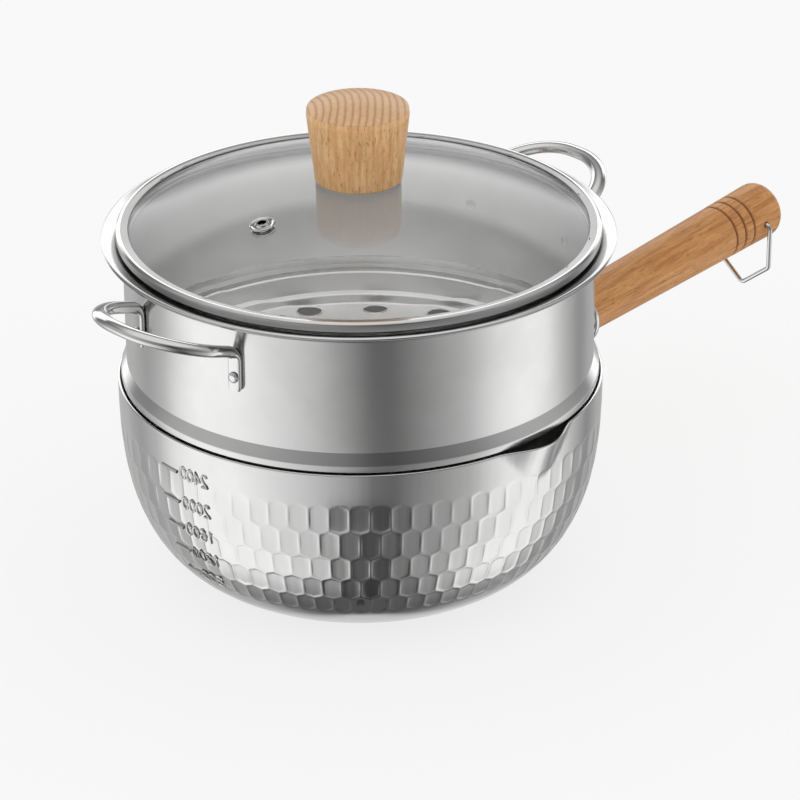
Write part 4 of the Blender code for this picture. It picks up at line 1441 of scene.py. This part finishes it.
@dataclass
class Lid:
    """The glass lid with its steel band, vent and knob.

    Args:
        rim: Height of the bowl's rim.
        band: Outer radius of the band.
        band_low: Height of the band's underside over the bowl's rim.
        band_high: Height of the band's top over the bowl's rim.
        skirt: Radius of the skirt's middle line.
        sheet: Thickness of the band.
        glass: Thickness of the glass.
        glass_rim_width: Width of the flat rim of the glass.
        dome: Height of the dome.
        vent_from_rim: Distance of the vent from the dome's edge.
        vent_turn: Angle of the vent, in degrees.
        knob_base: Radius of the knob at its foot.
        knob_top: Radius of the knob at its edge.
        knob_side: Height of the knob's side.
        knob_dome: Height of the knob's domed top.
        knob_grain: Angle of the knob's grain, in degrees.
        knob_seat: Radius and depth of the recess for the gasket in the knob's foot.
        knob_bore: Radius and depth of the knob's bore.
        bore: Radius of the hole in the gaskets and the washer.
        ring: Thickness of the gaskets and the washer.
        screw: Radius of the screw in the knob.
        screw_head: Radius and height of its head.
        screw_reach: How far it goes into the knob.
    """

    rim: float
    band: float = 108.5
    band_low: float = 67.1
    band_high: float = 71.2
    skirt: float = 103.85
    sheet: float = 0.5
    glass: float = 2.5
    glass_rim_width: float = 4.6
    dome: float = 21.6
    vent_from_rim: float = 47.0
    vent_turn: float = 176.0
    knob_base: float = 19.5
    knob_top: float = 22.9
    knob_side: float = 33.8
    knob_dome: float = 4.2
    knob_grain: float = -39.0
    knob_seat: tuple[float, float] = (8.8, 1.3)
    knob_bore: tuple[float, float] = (2.8, 20.0)
    bore: float = 2.7
    ring: float = 1.0
    screw: float = 2.4
    screw_head: tuple[float, float] = (4.6, 2.4)
    screw_reach: float = 14.0

    @property
    def dome_radius(self) -> float:
        """Radius where the dome meets the flat rim of the glass."""
        return self.band - self.sheet - FIT - self.glass_rim_width

    @property
    def vent_radius(self) -> float:
        """Distance of the vent from the middle."""
        return self.dome_radius - self.vent_from_rim

    @property
    def glass_rim(self) -> float:
        """Height of the upper face of the glass's flat rim."""
        return self.rim + self.band_low + self.sheet + FIT + self.glass

    @property
    def glass_top(self) -> float:
        """Height of the top of the glass."""
        return self.glass_rim + self.dome

    @property
    def ball(self) -> float:
        """Radius of the dome's sphere."""
        return (self.dome_radius**2 + self.dome**2) / (2 * self.dome)

    def glass_height(self, radius: float) -> float:
        """Height of the dome's upper face."""
        return self.glass_top - self.ball + math.sqrt(self.ball**2 - radius**2)

    def make_band(self) -> None:
        """Adds the band: an outer bead, a groove, a pale lip, a sloped seat and a skirt, with painted shade in darker
        steel on the seam by the glass, the outer side, the seat and the lip.
        """
        half = self.sheet / 2
        outer = self.band - half
        high = self.band_high - half
        low = self.band_low + half
        rows = [
            (103.4, high - 0.27, 0.0), (104.1, high - 0.24, 0.1), (106.3, high - 0.05, 0.15),
            (106.6, high + 0.35, 0.15), (107.4, high + 0.35, 0.3), (outer, high - 0.6, 0.6), (outer, low, 0.6),
            (104.9, 65.4, 0.4), (104.3, 64.7, 0.3), (102.5, 64.55, 0.3), (102.5, 63.75, 0.3),
            (self.skirt, 63.4, 0.3), (self.skirt, 62.1, 0.0),
        ]
        outline = sheet_outline(bent_line(raised(self.rim, rows), 6), self.sheet)
        band = keep("band_sheet", turned(outline, 220), POLISHED, Body.LID, Slot.POLISHED, "lid_rim_band", sharp=60)
        # Painted shade: the dark line by the glass, the outer side, the seat under the band and the lip get the darker
        # steel.
        band.data.materials.append(STEEL_WITH_PAINTED_SHADE)
        for face in band.data.polygons:
            radius = face.center.xy.length / MM
            height = face.center.z / MM - self.rim
            painted_shade_at_seam = radius < 103.9 and height > low
            side = radius > outer and abs(face.normal.z) < 0.6
            seat = height < low and radius < outer
            lip = 104.6 < radius < 106.3 and height > low
            if painted_shade_at_seam or side or seat or lip:
                face.material_index = 1

    def make_glass(self) -> None:
        """Adds the domed glass with its hole for the vent."""
        low = self.glass_rim - self.glass
        edge = self.band - self.sheet - FIT
        radii = [4.0 + (self.dome_radius - 4.0) * step / 14 for step in range(15)]
        upper = [Corner(radius, self.glass_height(radius)) for radius in radii[:-1]]
        upper += [Corner(self.dome_radius, self.glass_rim, 3.0), Corner(edge, self.glass_rim, 0.7)]
        lower = [Corner(edge, low, 0.7), Corner(self.dome_radius, low, 3.0)]
        lower += [Corner(radius, self.glass_height(radius) - self.glass) for radius in radii[-2::-1]]
        build = turned(bent_ring(upper + lower, 6), 192)
        build = cut_with(build, round_bar(3.5, 12.0, self.vent_place()))
        keep("glass_dome", build, CLEAR, Body.LID, Slot.GLASS, "lid_glass", sharp=50)

    def vent_place(self) -> Matrix:
        """On the glass over the vent, with local Z square to the dome."""
        spot = Vector((self.vent_radius, 0, self.glass_height(self.vent_radius)))
        outward = spot - Vector((0, 0, self.glass_top - self.ball))
        return Matrix.Rotation(math.radians(self.vent_turn), 4, "Z") @ facing(spot, outward)

    def make_vent(self) -> None:
        """Adds the eyelet and the ring that closes it from below."""
        low = -self.glass - FIT
        eyelet = [
            Corner(2.0, 1.6, 0.15), Corner(2.9, 1.6, 0.3), Corner(3.2, 0.7, 0.25), Corner(4.3, 0.75, 0.3),
            Corner(5.3, 1.15, 0.35), Corner(5.7, 0.7, 0.25), Corner(5.7, FIT, 0.15), Corner(3.2, FIT, 0.1),
            Corner(3.2, low - 1.7, 0.2), Corner(2.0, low - 1.7, 0.2),
        ]
        ring = [
            Corner(3.5, low, 0.1), Corner(5.7, low, 0.3), Corner(5.2, low - 1.4, 0.5), Corner(3.5, low - 1.4, 0.3),
        ]
        pieces = (("vent_eyelet_rolled", eyelet, "vent_eyelet"), ("vent_ring_rolled", ring, "vent_lower_ring"))
        for name, corners, node in pieces:
            build = turned(bent_ring(corners), 48, self.vent_place())
            keep(name, build, CHROME, Body.LID, Slot.POLISHED, node)

    def make_knob(self) -> None:
        """Adds the beech knob, a blunt cone with a domed top."""
        foot = self.glass_top + FIT
        side = foot + self.knob_side
        ball = (self.knob_top**2 + self.knob_dome**2) / (2 * self.knob_dome)
        top = []
        for share in (0.0, 0.15, 0.3, 0.45, 0.6, 0.75, 0.88):
            radius = self.knob_top * share
            top.append(Corner(radius, side + self.knob_dome - ball + math.sqrt(ball**2 - radius**2)))
        seat, seat_depth = self.knob_seat
        bore, bore_depth = self.knob_bore
        corners = [
            *top, Corner(self.knob_top - 0.3, side, 0.6), Corner(self.knob_top, side - 3.0, 1.5),
            Corner(self.knob_base, foot + 0.2, 0.9), Corner(self.knob_base - 1.2, foot, 0.3),
            Corner(seat, foot, 0.2), Corner(seat, foot + seat_depth, 0.2), Corner(bore, foot + seat_depth, 0.1),
            Corner(bore, foot + bore_depth, 0.1), Corner(0, foot + bore_depth),
        ]
        middle = Matrix.Translation((0, 0, foot)) @ Matrix.Rotation(math.radians(self.knob_grain), 4, "Z")
        dark, pale = (0.70, 0.375, 0.150), (0.92, 0.580, 0.290)
        finish = Beech("Beech knob", middle, 0.18, dark, pale, self.knob_side - 0.4).make()
        keep("knob_wood", turned(bent_line(corners, 6), 128), finish, Body.LID, Slot.BEECH, "lid_knob", sharp=50)

    def flat_ring(
        self, name: str, piece: str, outer: float, top: float, material: bpy.types.Material, slot: Slot
    ) -> None:
        """Adds a flat ring with rounded edges.

        Args:
            name: The CAD node that it stands for.
            piece: The piece's name.
            outer: Its outer radius.
            top: Height of its top.
            material: Its finish.
            slot: The record's slot of its finish.
        """
        low = top - self.ring
        corners = [
            Corner(self.bore, top, 0.1), Corner(outer, top, 0.25), Corner(outer, low, 0.25),
            Corner(self.bore, low, 0.1),
        ]
        keep(piece, turned(bent_ring(corners), 64), material, Body.LID, slot, name)

    def make_fixing(self, fasteners: Fasteners) -> None:
        """Adds the gaskets, the washer and the screw that hold the knob."""
        under = self.glass_top - self.glass - FIT
        over = self.glass_top + FIT
        self.flat_ring("knob_gasket", "gasket_upper_soft", 8.5, over + self.ring, RUBBER, Slot.SILICONE)
        self.flat_ring("lower_gasket", "gasket_lower_soft", 8.5, under, RUBBER, Slot.SILICONE)
        self.flat_ring("knob_washer", "washer_turned", 9.5, under - self.ring - FIT, POLISHED, Slot.POLISHED)
        head = under - 2 * self.ring - 2 * FIT
        top = over + self.screw_reach
        wide, high = self.screw_head
        corners = [
            Corner(0, top), Corner(self.screw, top, 0.4), Corner(self.screw, head, 0.1), Corner(wide, head, 0.3),
            Corner(wide - 0.6, head - high, 1.6), Corner(0, head - high),
        ]
        build = turned(bent_line(corners), 48)
        build = fasteners.crossed(build, Matrix.Translation((0, 0, head - high)), 2.3, 1.2)
        keep("knob_screw_crossed", build, POLISHED, Body.LID, Slot.POLISHED, "knob_screw", sharp=35)

    def make(self, fasteners: Fasteners) -> None:
        """Adds every piece of the lid."""
        self.make_band()
        self.make_glass()
        self.make_vent()
        self.make_knob()
        self.make_fixing(fasteners)


@dataclass(frozen=True)
class Studio:
    """The pale floor, the soft light and the camera.

    Args:
        turn: Where the camera stands round the pot, in degrees.
        lift: How high it looks from, in degrees.
        distance: Distance to the point that it looks at.
        target: The point that it looks at.
        roll: The camera's roll, in radians.
        lens: Focal length on a 36 mm sensor.
        paper: Grey of the floor and the background.
        glow: Grey that the floor glows with.
        matt: Share of the floor that is matt and takes the shadow.
        overhead: Brightness of the soft light above.
        behind: Brightness of the panel that faces the camera across the pot.
        panels: Angle in degrees from the camera and brightness of each stretch of the soft walls.
    """

    turn: float = -46.0
    lift: float = 26.2
    distance: float = 1760.0
    target: tuple[float, float, float] = (12.43, -12.88, 77.2)
    roll: float = -0.0054
    lens: float = 173.466
    paper: float = 0.93
    glow: float = 0.975
    matt: float = 0.22
    overhead: float = 1.0
    behind: float = 1.72
    panels: tuple[tuple[float, float], ...] = (
        (-180, 0.50), (-146, 0.58), (-128, 0.46), (-112, 0.66), (-98, 1.18), (-84, 1.38), (-62, 1.30),
        (-40, 1.00), (-20, 0.72), (-6, 0.50), (6, 0.22), (16, 0.18), (30, 0.34), (54, 0.64), (72, 1.12),
        (88, 1.32), (104, 1.20), (120, 0.68), (136, 0.34), (152, 0.50), (180, 0.50),
    )

    def towards_camera(self) -> Vector:
        """The direction from the target to the camera."""
        turn = math.radians(self.turn)
        lift = math.radians(self.lift)
        return Vector((math.sin(turn) * math.cos(lift), -math.cos(turn) * math.cos(lift), math.sin(lift)))

    def make_camera(self) -> None:
        """Adds the camera at the photograph's viewing angle."""
        direction = self.towards_camera()
        right = Vector((0, 0, 1)).cross(direction).normalized()
        up = direction.cross(right)
        tilted_right = right * math.cos(self.roll) + up * math.sin(self.roll)
        tilted_up = up * math.cos(self.roll) - right * math.sin(self.roll)
        axes = Matrix((tilted_right, tilted_up, direction)).transposed().to_4x4()
        camera = bpy.data.cameras.new("camera")
        camera.lens = self.lens
        camera.sensor_width = 36.0
        camera.clip_end = 100.0
        holder = place_object("camera", camera)
        spot = Vector(self.target) + direction * self.distance
        holder.matrix_world = Matrix.Translation(spot * MM) @ axes
        bpy.context.scene.camera = holder

    def make_floor(self) -> None:
        """Adds the pale floor, which keeps a soft shadow and stays out of reflections."""
        build = bmesh.new()
        bmesh.ops.create_circle(build, cap_ends=True, segments=64, radius=8.0)
        mesh = bpy.data.meshes.new("floor")
        build.to_mesh(mesh)
        build.free()
        floor = place_object("floor", mesh)
        floor.visible_glossy = False
        material = bpy.data.materials.new("Paper floor")
        material.use_nodes = True
        recipe = Recipe(material.node_tree)
        material.node_tree.nodes.clear()
        glow = recipe.add("ShaderNodeEmission")
        glow.inputs["Color"].default_value = grey(self.glow)
        matt = recipe.add("ShaderNodeBsdfDiffuse")
        matt.inputs["Color"].default_value = grey(self.paper)
        blend = recipe.add("ShaderNodeMixShader")
        blend.inputs[0].default_value = self.matt
        recipe.feed(blend.inputs[1], glow.outputs[0])
        recipe.feed(blend.inputs[2], matt.outputs[0])
        recipe.feed(recipe.add("ShaderNodeOutputMaterial").inputs[0], blend.outputs[0])
        mesh.materials.append(material)

    def mirrored(
        self, recipe: Recipe, height: Socket, around: Socket, walls: Socket
    ) -> Socket:
        """What the polished steel mirrors.

        Args:
            recipe: The world's recipe.
            height: How steeply the ray rises, from -1 to 1.
            around: Where it goes round the pot, 0.5 towards the camera.
            walls: Brightness of the soft walls there.

        Returns:
            The colour that the ray sees.
        """
        aside = recipe.math("ABSOLUTE", recipe.math("SUBTRACT", around, 0.5))
        # The walls grow darker upwards, as far as the ceiling
        light = recipe.times(walls, recipe.spread(height, -0.25, 0.1, 1.0, 0.45))
        light = recipe.mix(recipe.spread(height, 0.62, 0.93), light, grey(self.overhead))
        # The panel behind the pot, which comes lower in its middle
        lowered = recipe.math("SUBTRACT", height, recipe.spread(aside, 0.42, 0.46, 0.0, 0.44))
        panel = recipe.times(recipe.spread(aside, 0.36, 0.41), recipe.spread(lowered, -0.38, -0.2))
        panel = recipe.times(panel, recipe.spread(height, 0.50, 0.60, 1.0, 0.0))
        light = recipe.mix(panel, light, grey(self.behind))
        # Straight down it is dark, and the table is pale behind the pot
        light = recipe.mix(recipe.spread(height, -1.0, -0.8), grey(0.12), light)
        table = recipe.times(recipe.spread(aside, 0.44, 0.49), recipe.spread(height, -0.64, -0.5, 1.0, 0.0))
        table = recipe.times(table, recipe.spread(height, -0.99, -0.93))
        light = recipe.mix(table, light, grey(0.75))
        # A dark strip under the camera
        dark = recipe.times(recipe.spread(aside, 0.02, 0.06, 0.6, 0.0), recipe.spread(height, -0.56, -0.47, 1.0, 0.0))
        return recipe.mix(dark, light, grey(0.0))

    def make_world(self) -> None:
        """Lights the pot with soft walls round it and a bright ceiling; the camera sees paper."""
        world = bpy.data.worlds.new("studio")
        bpy.context.scene.world = world
        world.use_nodes = True
        recipe = Recipe(world.node_tree)
        world.node_tree.nodes.clear()
        x, y, height = recipe.parts(recipe.add("ShaderNodeTexCoord").outputs["Generated"])
        towards = self.towards_camera()
        front = math.atan2(towards.y, towards.x)
        angle = recipe.math("ARCTAN2", y, x)
        share = recipe.times_plus(recipe.math("SUBTRACT", angle, front), 1 / TURN, 0.5)
        walls = recipe.add("ShaderNodeValToRGB")
        stops = walls.color_ramp.elements
        while len(stops) < len(self.panels):
            stops.new(0.5)
        for stop, (degrees, bright) in zip(stops, self.panels):
            stop.position = degrees / 360 + 0.5
            stop.color = grey(bright)
        around = recipe.math("FRACT", share)
        recipe.feed(walls.inputs[0], around)
        even = recipe.times_plus(walls.outputs[0], 0.45, 0.5)
        soft = recipe.mix(recipe.spread(height, 0.1, 0.65), even, grey(0.92))
        light = self.mirrored(recipe, height, around, walls.outputs[0])
        path = recipe.add("ShaderNodeLightPath")
        light = recipe.mix(path.outputs["Is Glossy Ray"], soft, light)
        seen = recipe.math("MAXIMUM", path.outputs["Is Camera Ray"], path.outputs["Is Transmission Ray"])
        light = recipe.mix(seen, light, grey(self.paper))
        glow = recipe.add("ShaderNodeBackground")
        recipe.feed(glow.inputs[0], light)
        recipe.feed(recipe.add("ShaderNodeOutputWorld").inputs[0], glow.outputs[0])

    def make(self) -> None:
        """Sets up the whole studio."""
        self.make_camera()
        self.make_floor()
        self.make_world()
        bpy.context.scene.view_settings.view_transform = "Standard"


def main() -> None:
    """Builds every sub-assembly in order, then the studio."""
    logging.basicConfig(level=logging.INFO, format="%(message)s")
    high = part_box("bowl")[1]
    height = high.z / MM
    fasteners = Fasteners()
    bowl = Bowl(high.x / MM, height)
    bowl.make()
    handle = Handle(bowl)
    handle.make(fasteners)
    HangingRing(handle.pin()).make()
    Steamer(height, flange=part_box("steamer_insert")[1].x / MM - 0.4).make_shell()
    for name, turn in (("loop_handle_front", 177.6), ("loop_handle_rear", -2.4)):
        LoopHandle(name, turn, height).make(fasteners)
    Lid(height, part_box("lid_rim_band")[1].x / MM).make(fasteners)
    Studio().make()


if __name__ == "__main__":
    main()
